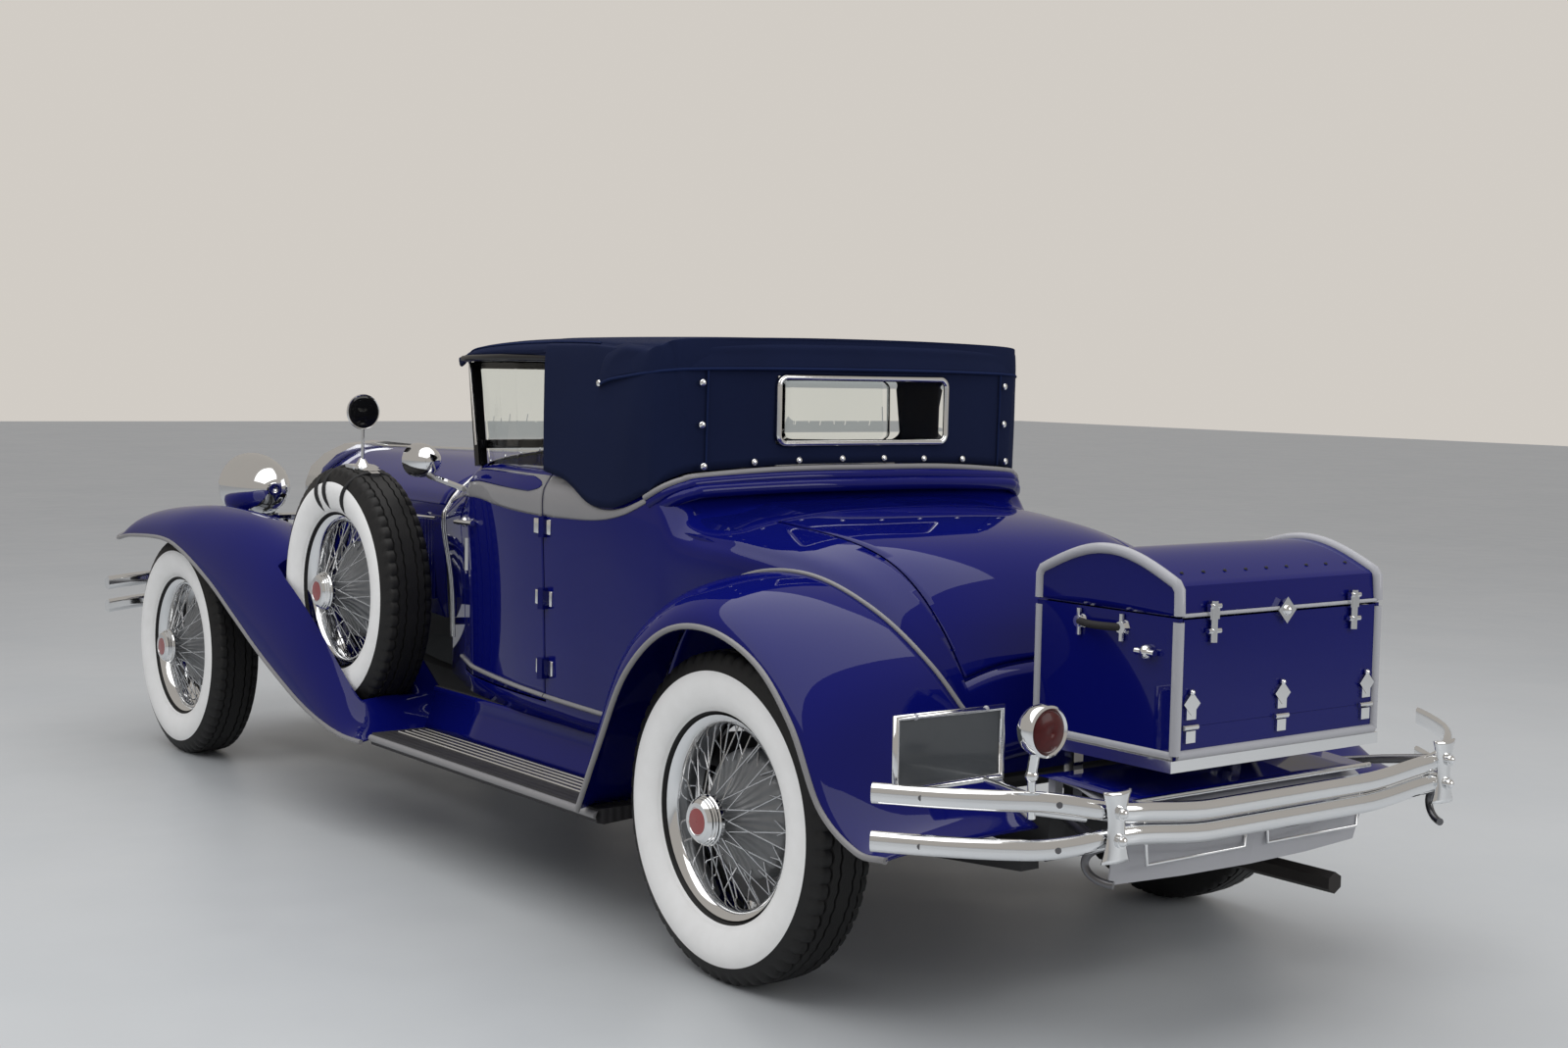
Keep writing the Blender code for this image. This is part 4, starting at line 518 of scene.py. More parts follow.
def within(outline, a, b):
    """Whether a point lies inside an outline."""
    odd = False
    for (a0, b0), (a1, b1) in zip(outline, outline[1:] + outline[:1]):
        if (b0 > b) != (b1 > b) and a < (a1 - a0) * (b - b0) / (b1 - b0) + a0:
            odd = not odd
    return odd


def drop_faces(bm, test):
    """Takes away the faces whose middle passes a test."""
    bmesh.ops.delete(bm, geom=[f for f in bm.faces if test(f.calc_center_median())], context='FACES')


def door_line(grow):
    """The door's outline seen from the side, grown by the gap round it."""
    front, rear, sill = DOOR_FRONT - grow, DOOR_REAR + grow, DOOR_SILL - grow
    return [(front, sill), (rear, sill), (rear, 1.25), (SCREEN_FOOT + 0.042 - grow, 1.25),
        (SCREEN_FOOT + 0.042 - grow, BELT), (SCREEN_FOOT - 0.008 - grow, BELT - 0.065 + grow),
        (front, BELT - 0.175 + grow)]


def lid_line(grow):
    """The rumble lid's outline seen from above."""
    return [(x + math.copysign(grow, x), y + (grow if y > 0 else -grow)) for x, y in LID]


def body_skin(front, rear, rows):
    """The whole skin between two stations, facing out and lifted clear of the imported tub."""
    bm = shaped_grid(96, rows, lambda s, t: body_point(front + (rear - front) * t, 12 * s - 6))
    outward(bm, lambda c: Vector((0.0, c.y, 0.75)))
    lifted(bm, SKIN_LIFT)
    return bm


def lacquer(name, base, deep):
    """Polished lacquer: a deep colour under clear coat, with the faintest orange peel."""
    coat = {"Coat Weight": 0.75, "Coat Roughness": 0.02, "Coat IOR": 1.42, "Specular IOR Level": 0.0}
    material, start, _ = finish_of(name, coat, (1.6, 2.0), base, deep, 0.1, 0.3)
    dent(material, start, cloud(start, 340.0, 1.0), 0.0001, 0.06)
    return material


cobalt = lacquer("cobalt_lacquer", (0.0032, 0.0052, 0.128), (0.0024, 0.004, 0.092))
bm = body_skin(-2.058, 0.469, 150)
for side in (1, -1):
    scored(bm, door_line(0.005), 'X')
scored(bm, lid_line(0.005), 'Z')
for plane, normal in (((COCKPIT_HALF, 0, 0), (1, 0, 0)), ((-COCKPIT_HALF, 0, 0), (1, 0, 0)),
        ((0, COCKPIT_FRONT, 0), (0, 1, 0)), ((0, COCKPIT_REAR, 0), (0, 1, 0))):
    cut_at(bm, plane, normal)
drop_faces(bm, lambda c: within(door_line(0.005), c.y, c.z) and abs(c.x) > 0.3)
drop_faces(bm, lambda c: within(lid_line(0.005), c.x, c.y) and c.z > 0.7)
drop_faces(bm, lambda c: abs(c.x) < COCKPIT_HALF and COCKPIT_FRONT < c.y < COCKPIT_REAR and c.z > 1.0)
settle("body_skin", bm, cobalt, "body", (), 60.0, 0.0014)
# The imported tub shows only inside the body and takes a darker copy of the lacquer: painted shade for the
# inside.
dress("body_tub", lacquer("cobalt_inside_painted_shade", (0.003, 0.0048, 0.1), (0.0022, 0.0038, 0.075)))

# The doors and the rumble lid: skins cut from the same surface. Each door hangs on three plated
# hinges at its rear edge, and each skin ends a few millimetres short of the body's own cut.
SIDES, DOOR_TOP_INNER = (("left", 1), ("right", -1)), 0.585
for name, side in SIDES:
    bm = body_skin(-1.84, -1.08, 60)
    scored(bm, door_line(0.0), 'X')
    drop_faces(bm, lambda c: not (within(door_line(0.0), c.y, c.z) and c.x * side > 0.3))
    cut_at(bm, (side * DOOR_TOP_INNER, 0, 0), (side, 0, 0))
    drop_faces(bm, lambda c: c.z > 1.12 and abs(c.x) < DOOR_TOP_INNER)
    settle("door_skin_" + name, bm, cobalt, "door_" + name, (), 60.0, 0.0014)
    dress("door_" + name, cobalt)
bm = body_skin(-0.33, 0.43, 60)
scored(bm, lid_line(0.0), 'Z')
drop_faces(bm, lambda c: not (within(lid_line(0.0), c.x, c.y) and c.z > 0.7))
settle("lid_skin", bm, cobalt, "rumble_lid", (), 60.0, 0.0014)
dress("rumble_lid", cobalt)

# The bonnet: two top panels on a long plated hinge, each with a louvred side panel below it.
BONNET_NOSE = [(0.0086, 1.14), (0.11, 1.125), (0.19, 1.085), (0.245, 1.035), (0.27, 0.985)]
BONNET_TAIL = [(0.0086, 1.172), (0.2, 1.15), (0.35, 1.105), (0.44, 1.055), (0.472, 1.01)]
BONNET_FROM, BONNET_TO, SIDE_LOW, LOUVRES = -3.444, -2.066, 0.64, 36


def panel(name, grid, point_at, heart, material, body, replaced=(), sharp=60.0,
        shell=0.0):
    """A sheet laid on a surface, faced away from its heart and made a piece."""
    bm = shaped_grid(*grid, point_at)
    outward(bm, heart)
    return settle(name, bm, material, body, replaced, sharp, shell)


for name, side in SIDES:
    def top_point(s, t):
        nose, tail = through(BONNET_NOSE, 4 * s), through(BONNET_TAIL, 4 * s)
        x, z = nose.lerp(tail, t)
        return Vector((side * x, BONNET_FROM + (BONNET_TO - BONNET_FROM) * t, z))
    panel("bonnet_top_skin_" + name, (28, 24), top_point, lambda c: Vector((0.0, c.y, 0.8)), cobalt,
        "bonnet_top_" + name, ("bonnet_top_" + name,), shell=0.006)

    def side_point(s, t):
        wide = 0.27 + 0.202 * t
        high = 0.985 + 0.025 * t - 0.0006
        z = high + (SIDE_LOW - high) * s
        y = BONNET_FROM + (BONNET_TO - BONNET_FROM) * t
        return Vector((side * (wide - 0.012 * max(0.0, (0.85 - z) / 0.21)), y, z))
    bm = shaped_grid(16, 24, side_point)
    outward(bm, lambda c: Vector((0.0, c.y, c.z)))
    bmesh.ops.solidify(bm, geom=bm.faces[:], thickness=0.006)
    for k in range(LOUVRES):
        t = 0.12 + 0.8 * k / (LOUVRES - 1)
        top, low = side_point(0.14, t), side_point(0.86, t)
        louvre = cone(bm, 10, 0.011, 0.011, (top - low).length, Matrix.Translation((top + low) / 2))
        bmesh.ops.scale(bm, vec=(0.5, 1.0, 1.0), verts=louvre["verts"],
            space=Matrix.Translation(-(top + low) / 2))
    settle("bonnet_side_skin_" + name, bm, cobalt, "bonnet_side_" + name, ("bonnet_side_" + name,),
        40.0)
dress("bonnet_hinge", chrome)

# The fenders: deep crowned pressings with a silver-grey rolled bead along every outer edge. The
# front ones have a well pressed down into them, in which the spare wheel stands.
REAR_RIM = [(-0.531, 0.3304), (-0.432, 0.514), (-0.315, 0.712), (-0.15, 0.837), (0.038, 0.865),
    (0.227, 0.81), (0.364, 0.689), (0.472, 0.522), (0.6, 0.45), (0.7, 0.45)]
REAR_ROOT = [(-0.59, 0.3304), (-0.535, 0.58), (-0.415, 0.815), (-0.21, 0.95), (0.01, 0.978),
    (0.21, 0.915), (0.385, 0.79), (0.5, 0.64), (0.61, 0.52), (0.7, 0.47)]
FRONT_RIM = [(-3.96, 0.77), (-3.814, 0.792), (-3.496, 0.805), (-3.296, 0.772), (-3.042, 0.685),
    (-2.829, 0.588), (-2.627, 0.495), (-2.432, 0.417), (-2.273, 0.361), (-2.118, 0.323), (-1.969, 0.303),
    (-1.83, 0.303)]
FRONT_CROWN = [(-3.975, 0.8), (-3.86, 0.88), (-3.5, 0.922), (-3.24, 0.926), (-3.0, 0.905),
    (-2.76, 0.845), (-2.55, 0.76), (-2.35, 0.65), (-2.19, 0.54), (-2.05, 0.44), (-1.92, 0.35),
    (-1.83, 0.318)]
REAR_RIM_X, FRONT_RIM_X, FRONT_CROWN_X, FRONT_INNER_X = 0.9, 0.88, 0.7, 0.5
SPARE_AT, WELL_R, WELL_HALF = Vector((SPARE_X, SPARE_Y, SPARE_Z)), 0.406, 0.1
BEAD_SIZE, CROWN_SHARE = 0.0075, 0.62


def rolled_bead(name, points, radius, material, body):
    """A bead or moulding: a smooth round wire along a line of points on the car."""
    line = bpy.data.curves.new(name, 'CURVE')
    line.dimensions = '3D'
    line.bevel_depth, line.bevel_resolution, line.use_fill_caps = radius, 4, True
    spline = line.splines.new('POLY')
    spline.points.add(len(points) - 1)
    for knot, place in zip(spline.points, points):
        knot.co = (place[0], place[1] + AXLE_Y, place[2], 1.0)
    line.materials.append(material)
    piece = bpy.data.objects.new(name, line)
    bpy.context.scene.collection.objects.link(piece)
    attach(piece, body)
    return piece


silver_bead = lacquer("silver_bead_paint", (0.27, 0.262, 0.262), (0.215, 0.21, 0.212))
for name, side in SIDES:
    def rear_point(s, t):
        rim, root = through(REAR_RIM, 9 * t), through(REAR_ROOT, 9 * t)
        belt, sill = eased(STATIONS, root.x)[:2]
        inner = 0.664 if root.y < 0.46 else max(belt, sill) + 0.001
        bend = math.pi / 2 * s
        x = inner + (REAR_RIM_X - inner) * math.cos(bend)
        y, z = rim.lerp(root, math.sin(bend))
        return Vector((side * x, y, z))
    panel("fender_rear_skin_" + name, (24, 72), rear_point, (side * 0.7, 0.0, 0.4), cobalt, "body",
        ("fender_rear_" + name,), shell=0.005)
    rim_line = [rear_point(0.0, k / 80) for k in range(81)]
    rolled_bead("fender_rear_bead_" + name, rim_line, BEAD_SIZE, silver_bead, "body")
    root_line = [rear_point(1.0, k / 80) + Vector((side * 0.004, 0, 0.002)) for k in range(10, 78)]
    rolled_bead("fender_rear_joint_" + name, root_line, 0.006, silver_bead, "body")

    def front_point(s, t, pressed=True):
        rim, crown = through(FRONT_RIM, 11 * t), through(FRONT_CROWN, 11 * t)
        if s < CROWN_SHARE:
            bend = math.pi / 2 * s / CROWN_SHARE
            x = FRONT_CROWN_X + (FRONT_RIM_X - FRONT_CROWN_X) * math.cos(bend)
            y, z = rim.lerp(crown, math.sin(bend))
        else:
            far = (s - CROWN_SHARE) / 0.38
            fall = 0.06 * max(0.0, min(1.0, (crown.y - 0.32) / 0.55))
            x = FRONT_CROWN_X + (FRONT_INNER_X - FRONT_CROWN_X) * far
            y, z = crown.x, crown.y - fall * far ** 1.6
        out = Vector((0.0, y - SPARE_AT.y, z - SPARE_AT.z))
        if pressed and abs(x - SPARE_AT.x) < WELL_HALF and out.length < WELL_R:
            soft = min(1.0, (WELL_HALF - abs(x - SPARE_AT.x)) / 0.006)
            well = SPARE_AT + out.normalized() * WELL_R
            y, z = y + (well.y - y) * soft, z + (well.z - z) * soft
        return Vector((side * x, y, z))
    panel("fender_front_skin_" + name, (84, 150), front_point, (side * 0.7, -3.2, 0.0), cobalt, "body",
        ("fender_front_" + name,), sharp=55.0, shell=0.005)
    rim_line = [front_point(0.0, k / 90, False) for k in range(91)]
    lip_line = [front_point(k / 24, 0.0, False) for k in range(24, 0, -1)]
    rolled_bead("fender_front_bead_" + name, lip_line + rim_line, BEAD_SIZE, silver_bead, "body")

# Running boards: ribbed grey rubber with five bright strips inboard, a rolled silver edge, and
# the blue splash apron that rises from them to the sill.
BOARD_Z, BOARD_FROM, BOARD_TO = 0.33, -1.8275, -0.52
LYING = Matrix.Rotation(math.pi / 2, 4, 'X')
rubber_mat, start, _ = finish_of("board_rubber", {"Specular IOR Level": 0.3}, (14.0, 6.0),
    (0.024, 0.023, 0.025), (0.046, 0.044, 0.047), 0.2, 0.55)
width = start.node("ShaderNodeSeparateXYZ", {}, {0: place_of(start)})
dent(rubber_mat, start, (width * 262.0).one('SINE'), 0.0012, 0.7)
for name, side in SIDES:
    dress("running_board_" + name, rubber_mat)
    bm = bmesh.new()
    for k in range(5):
        x = 0.676 + 0.0235 * k
        middle = Matrix.Translation((side * x, (BOARD_FROM + BOARD_TO) / 2, BOARD_Z + 0.0015))
        cone(bm, 10, 0.0048, 0.0048, BOARD_TO - BOARD_FROM - 0.08, middle @ LYING)
    settle("board_strips_" + name, bm, chrome, "body")
    edge_line = [(side * 0.846, y, BOARD_Z - 0.016) for y in (BOARD_FROM, BOARD_TO)]
    rolled_bead("board_edge_" + name, edge_line, 0.011, silver_bead, "body")

    def splash_point(s, t):
        line = [(0.6625, 0.331), (0.634, 0.4), (0.628, 0.459)]
        x, z = through(line, 2 * s)
        return Vector((side * (x + 0.0015), BOARD_FROM + (BOARD_TO - BOARD_FROM) * t, z))
    panel("splash_apron_" + name, (8, 4), splash_point, (0.0, -1.2, 0.4), cobalt, "body", shell=0.001)
dress("front_apron", cobalt)

# The radiator shell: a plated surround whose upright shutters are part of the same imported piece.
dress("radiator_shell", bright_metal("shell_plate", (0.8, 0.81, 0.82), 0.08))

# The closed top: one sheet of navy canvas stretched over the bows, rolled down at the quarters and
# across the back, with piped edges, a valance over the rear curtain and chrome snaps.
ROOF_ROWS = [(-1.745, 0.59, 1.496, 1.52, 1.474), (-1.64, 0.612, 1.518, 1.54, 1.486),
    (-1.4, 0.632, 1.532, 1.556, 1.494), (-1.135, 0.648, 1.538, 1.563, 1.494),
    (-1.11, 0.668, 1.538, 1.563, 1.174), (-0.98, 0.672, 1.538, 1.564, 1.152),
    (-0.86, 0.674, 1.536, 1.563, 1.098), (-0.76, 0.673, 1.53, 1.56, 1.09)]
TAIL_ROW = [(0.668, -0.69, 1.104), (0.672, -0.66, 1.33), (0.664, -0.63, 1.49),
    (0.64, -0.6, 1.524), (0.575, -0.56, 1.54), (0.29, -0.535, 1.548), (0.0, -0.53, 1.55)]
BEND_ROW = [(0.655, -0.61, 1.136), (0.657, -0.59, 1.33), (0.648, -0.575, 1.475),
    (0.618, -0.545, 1.505), (0.56, -0.52, 1.52), (0.29, -0.5, 1.528), (0.0, -0.495, 1.53)]
LOW_ROW = [(0.651, -0.596, 1.144), (0.64, -0.57, 1.163), (0.62, -0.548, 1.178), (0.59, -0.53, 1.192),
    (0.54, -0.518, 1.2), (0.29, -0.5, 1.214), (0.0, -0.495, 1.216)]
LAST_ROOF, REAR_HALF, REAR_LOW, REAR_HIGH = 3, 0.295, 1.279, 1.448


def woven(name, base, deep, pitch):
    """Canvas: a fine twill weave, slightly faded in soft patches."""
    material, start, _ = finish_of(name, {"Specular IOR Level": 0.12}, (3.5, 5.0), deep, base, 0.1, 0.82)
    weave = start.node("ShaderNodeTexWave", {"bands_direction": 'DIAGONAL'},
        {"Vector": place_of(start), "Scale": pitch, "Distortion": 0.6, "Detail": 2.0})
    dent(material, start, weave * 0.5 + cloud(start, 9.0, 4.0) * 3.0, 0.0012, 0.45)
    return material


def mirrored_row(half_row):
    """A row of points across the car from its left half."""
    return [(-x, y, z) for x, y, z in half_row[:-1]] + list(reversed(half_row))


def roof_row(y, half, edge, crown, low):
    """One row over the roof: its half width, the heights of its edge, crown and lower edge."""
    return mirrored_row([(half, y, low), (half, y, low + 0.5 * (edge - low)),
        (half - 0.004, y, edge - 0.03), (half - 0.022, y, edge - 0.004),
        (half - 0.075, y, edge + 0.45 * (crown - edge)), (half * 0.45, y, crown - 0.004),
        (0.0, y, crown)])


canvas_rows = [roof_row(*row) for row in ROOF_ROWS]
canvas_rows += [mirrored_row(row) for row in (TAIL_ROW, BEND_ROW, LOW_ROW)]


def canvas_point(s, t):
    """The canvas, s from side to side and t from the header to the lower edge behind."""
    column = 12 * s
    across_rows = [through(row, column) for row in canvas_rows]
    u = (len(canvas_rows) - 1) * t
    if u <= LAST_ROOF:
        place = through(across_rows[:LAST_ROOF + 1], u)
    elif u < LAST_ROOF + 1:
        place = across_rows[LAST_ROOF].lerp(across_rows[LAST_ROOF + 1], u - LAST_ROOF)
    else:
        place = through(across_rows[LAST_ROOF + 1:], u - LAST_ROOF - 1)
    return place + Vector((0.0, 0.0, 0.0008))


canvas = woven("navy_canvas", (0.0085, 0.0145, 0.05), (0.0055, 0.0095, 0.034), 420.0)
bm = shaped_grid(120, 132, canvas_point)
outward(bm, (0.0, -1.1, 1.0))
hole_half, hole_low, hole_high = REAR_HALF + 0.008, REAR_LOW - 0.008, REAR_HIGH + 0.008
for plane, normal in (((hole_half, 0, 0), (1, 0, 0)), ((-hole_half, 0, 0), (1, 0, 0)),
        ((0, 0, hole_low), (0, 0, 1)), ((0, 0, hole_high), (0, 0, 1))):
    cut_at(bm, plane, normal)
drop_faces(bm, lambda c: abs(c.x) < hole_half and hole_low < c.z < hole_high and c.y > -0.66)
canvas_top = settle("canvas_top", bm, canvas, "body", ("soft_top",), 60.0, 0.005)

VALANCE_LOW = [(0.679, -0.8, 1.423), (0.6792, -0.77, 1.433), (0.6785, -0.735, 1.44),
    (0.6745, -0.68, 1.447), (0.66, -0.605, 1.457), (0.62, -0.545, 1.466), (0.54, -0.511, 1.471),
    (0.29, -0.487, 1.475), (0.0, -0.482, 1.476)]
VALANCE_HIGH = [(0.6788, -0.806, 1.429), (0.676, -0.796, 1.468), (0.67, -0.776, 1.506),
    (0.65, -0.73, 1.534), (0.635, -0.625, 1.53), (0.595, -0.575, 1.539), (0.53, -0.545, 1.543),
    (0.29, -0.522, 1.55), (0.0, -0.516, 1.552)]
low_line, high_line = mirrored_row(VALANCE_LOW), mirrored_row(VALANCE_HIGH)


def valance_point(s, t):
    """The valance, s round the back and t from its lower edge up."""
    low, high = through(low_line, 16 * s), through(high_line, 16 * s)
    shoulder = Vector((low.x, low.y, high.z - 0.018)) * 0.7 + high * 0.3
    return through([low, low.lerp(shoulder, 0.6), shoulder, high], 3 * t)


valance = panel("rear_valance", (110, 14), valance_point, (0.0, -1.0, 1.3), canvas, "body",
    shell=0.0025)
piping = woven("navy_piping", (0.01, 0.02, 0.075), (0.007, 0.014, 0.055), 900.0)
rolled_bead("piping_valance", [through(low_line, 16 * k / 120) for k in range(121)], 0.0042, piping, "body")
header_line = [canvas_point(k / 60, 0.0) + Vector((0, -0.001, 0.002)) for k in range(61)]
rolled_bead("piping_header", header_line, 0.0045, piping, "body")
for side, share in ((1, 0.2575), (-1, 0.7425)):
    roof_line = [canvas_point(1 - share, k / 60 * 0.62) + Vector((0, 0, 0.002)) for k in range(61)]
    rolled_bead("piping_roof_" + str(side), roof_line, 0.003, piping, "body")
    curtain_line = [(side * 0.525, -0.5125 + 0.006 * k / 30, 1.205 + 0.262 * k / 30) for k in range(31)]
    rolled_bead("piping_curtain_" + str(side), curtain_line, 0.0028, piping, "body")


def snap(bm, centre, facing):
    """One domed chrome snap cap that faces a way."""
    where = Matrix.Translation(centre) @ Vector(facing).to_track_quat('Z', 'Y').to_matrix().to_4x4()
    dome = bmesh.ops.create_uvsphere(bm, u_segments=14, v_segments=8, radius=0.0095, matrix=where)
    bmesh.ops.scale(bm, vec=(1, 1, 0.45), verts=dome["verts"], space=where.inverted())


bm = bmesh.new()
for side in (1, -1):
    for z in (1.435, 1.324, 1.215):
        snap(bm, (side * 0.543, -0.505 + 0.01 * (z < 1.3), z), (0.2 * side, 1, 0))
for x in (-0.375, -0.225, -0.075, 0.075, 0.225, 0.375):
    snap(bm, (x, -0.493 - 0.012 * abs(x), 1.232 - 0.02 * abs(x)), (0, 1, 0.1))
for side in (1, -1):
    snap(bm, (side * 0.681, -0.801, 1.427), (side, 0, 0))
settle("top_snaps", bm, chrome, "body")

# Windows: the rear light in its bright frame, the flat windshield, and the raised door glasses.
clear_glass = finish_of("window_glass", {"Transmission Weight": 1.0, "IOR": 1.12, "Roughness": 0.0},
    (3.0, 4.0), (0.9, 0.93, 0.92), (0.96, 0.98, 0.97))[0]
for node in ("windshield_glass", "door_glass_left", "door_glass_right"):
    dress(node, clear_glass)


def rounded_frame(half, low, high, corner, y):
    """Points round a window with rounded corners, seen from behind."""
    points = []
    for x, z, first in ((half - corner, high - corner, 0), (corner - half, high - corner, 1),
            (corner - half, low + corner, 2), (half - corner, low + corner, 3)):
        for k in range(9):
            angle = math.pi / 2 * (first + k / 8)
            points.append((x + corner * math.cos(angle), y, z + corner * math.sin(angle)))
    return points + points[:1]


frame_line = rounded_frame(REAR_HALF + 0.005, REAR_LOW - 0.005, REAR_HIGH + 0.005, 0.024, -0.4935)
rolled_bead("rear_window_rim", frame_line, 0.009, chrome, "body")
bm = shaped_grid(12, 6, lambda s, t: Vector(((2 * s - 1) * (REAR_HALF + 0.004), -0.496,
    REAR_LOW - 0.004 + (REAR_HIGH - REAR_LOW + 0.008) * t)))
settle("rear_window_pane", bm, clear_glass, "body", ("rear_window",), 40.0, 0.003)

# The windshield frame and the door tops: black enamelled posts with bright edges.
gloss_black = lacquer("gloss_black", (0.008, 0.008, 0.009), (0.005, 0.005, 0.006))
dress("windshield_frame", gloss_black)
rail_line = [(0.604, -1.7, 1.486), (0.626, -1.6, 1.489), (0.636, -1.4, 1.493), (0.64, -1.105, 1.493)]
screen_line = [(0.602, -1.618, 1.225), (0.588, -1.69, 1.478)]
glass_line = [(0.6335, -1.14, 1.185), (0.6275, -1.14, 1.476)]
for name, side in SIDES:
    for edge, line, radius, material, body in (
            ("top_rail_", rail_line, 0.0105, gloss_black, "body"),
            ("screen_edge_", screen_line, 0.005, chrome, "body"),
            ("door_glass_edge_", glass_line, 0.0055, chrome, "door_" + name)):
        rolled_bead(edge + name, [(side * x, y, z) for x, y, z in line], radius, material, body)
for node in ("steering_wheel", "dashboard"):
    dress(node, gloss_black)

# The seat: a sprung cushion and back in dark blue leather, each with pleats sewn front to back.
# The leather's colour follows the same pattern as its crease bump. This paints the low parts darker: painted
# shade in the creases, over the leather's own uneven tone.
leather, start, crease_and_shade = finish_of("seat_leather", {"Specular IOR Level": 0.4}, (26.0, 8.0),
    (0.006, 0.009, 0.036), (0.012, 0.016, 0.06), 0.2, 0.38)
dent(leather, start, crease_and_shade, 0.0015, 0.5)


def pleated_pad(name, low, high, lean, pleats, thick, replaced=()):
    """A stuffed pad between two corners: swollen on all sides, with sewn pleats across it."""
    middle, half = (Vector(low) + Vector(high)) / 2, (Vector(high) - Vector(low)) / 2
    bm = bmesh.new()
    bmesh.ops.create_cube(bm, size=2.0)
    bmesh.ops.subdivide_edges(bm, edges=bm.edges[:], cuts=55, use_grid_fill=True)
    for corner in bm.verts:
        x, y, z = corner.co
        round_x, round_y, round_z = 1 - abs(x) ** 8, 1 - abs(y) ** 6, 1 - abs(z) ** 6
        seam = abs(math.sin(math.pi * pleats * (x + 1) / 2)) ** 0.35
        swell = 0.86 + 0.14 * seam * round_x
        depth = (0.9 + 0.1 * round_x * round_z) * (swell if thick == "y" else 1)
        height = (0.8 + 0.2 * round_x * round_y) * (swell if thick == "z" else 1)
        corner.co = Vector((x * half.x * (0.965 + 0.035 * round_y * round_z), y * half.y * depth,
            z * half.z * height))
    bmesh.ops.rotate(bm, cent=(0, 0, 0), matrix=Matrix.Rotation(lean, 3, 'X'), verts=bm.verts)
    bmesh.ops.translate(bm, vec=middle, verts=bm.verts)
    pad = settle(name, bm, leather, "body", replaced, 80.0)


def block(bm, at, size, turn=Matrix.Identity(4)):
    """A small box, turned or not."""
    bmesh.ops.create_cube(bm, size=1.0, matrix=Matrix.Translation(at) @ turn @ Matrix.Diagonal((*size, 1)))


pleated_pad("seat_cushion", (-0.535, -1.15, 0.64), (0.535, -0.76, 0.8), 0.03, 14, "z", ("seat",))
pleated_pad("seat_back", (-0.535, -0.835, 0.69), (0.535, -0.7, 1.095), -0.12, 14, "y")
bm = bmesh.new()
block(bm, (0, -0.955, 0.578), (1.06, 0.34, 0.14))
bmesh.ops.bevel(bm, geom=bm.edges[:], affect='EDGES', offset=0.008, segments=3, profile=0.5, material=-1)
settle("seat_box", bm, leather, "body")

# Silver-grey belt moulding: wide along the door with a blue inset, swept down under the top's
# quarter and up again round its back, then thin; a second thin one runs along the sills.
BELT_LOW = [(-2.055, 1.012), (-1.9, 1.04), (-1.75, 1.06), (-1.585, 1.066), (-1.43, 1.055),
    (-1.3, 1.048), (-1.14, 1.044), (-0.97, 1.046), (-0.86, 1.05), (-0.781, 1.058), (-0.701, 1.075),
    (-0.64, 1.097), (-0.585, 1.122), (-0.56, 1.132)]
BELT_HIGH = [(-2.055, 1.03), (-1.9, 1.062), (-1.75, 1.112), (-1.64, 1.15), (-1.55, 1.161),
    (-1.25, 1.162), (-1.04, 1.158), (-0.96, 1.14), (-0.857, 1.096), (-0.781, 1.086), (-0.701, 1.096),
    (-0.64, 1.116), (-0.585, 1.141), (-0.56, 1.151)]


def side_surface(side, y, z, lift):
    """The point of the body side at a height, lifted off it."""
    low, high = 0.0, 6.0
    for _ in range(26):
        w = (low + high) / 2
        if body_point(y, w).z > z:
            low = w
        else:
            high = w
    place = body_point(y, (low + high) / 2)
    return Vector((side * (place.x + SKIN_LIFT + lift), y, place.z))


def body_heart(place):
    """The point in the middle of the body that a piece of its side faces away from."""
    return Vector((0.0, place.y, 0.8))


def belt_strip(name, side, y_from, y_to, body):
    """A raised band of the belt moulding on the body side between two stations."""
    def band_point(s, t):
        y = y_from + (y_to - y_from) * t
        low, high = eased(BELT_LOW, y)[0], eased(BELT_HIGH, y)[0]
        relief = 0.0045 * math.sin(math.pi * min(1, max(0, s))) ** 0.4
        return side_surface(side, y, low + (high - low) * s, relief)
    panel(name, (14, 48), band_point, body_heart, silver_bead, body, sharp=40.0, shell=0.003)


for name, side in SIDES:
    belt_strip("belt_cowl_" + name, side, -2.05, DOOR_FRONT - 0.006, "body")
    belt_strip("belt_door_" + name, side, DOOR_FRONT + 0.002, DOOR_REAR - 0.002, "door_" + name)

    def inset_point(s, t, side=side):
        y = -1.735 + 0.6 * t
        low, high = eased(BELT_LOW, y)[0], eased(BELT_HIGH, y)[0]
        taper = 0.19 * min(1.0, 8.0 * t, 8.0 * (1 - t)) ** 0.5
        return side_surface(side, y, low + (high - low) * (0.75 + (2 * s - 1) * taper), 0.0062)
    panel("belt_inset_" + name, (8, 48), inset_point, body_heart, cobalt, "door_" + name, sharp=40.0,
        shell=0.002)
    belt_strip("belt_quarter_" + name, side, DOOR_REAR + 0.006, -0.597, "body")
    for part, start, end, body in (("front", -1.84, DOOR_FRONT - 0.004, "body"),
            ("door", DOOR_FRONT + 0.002, DOOR_REAR - 0.002, "door_" + name),
            ("rear", DOOR_REAR + 0.004, -0.62, "body")):
        stations = [start + (end - start) * k / 24 for k in range(25)]
        sill_line = [side_surface(side, y, 0.545 - 0.0246 * (y + 1.84), 0.002) for y in stations]
        rolled_bead("sill_moulding_" + part + "_" + name, sill_line, 0.007, silver_bead, body)


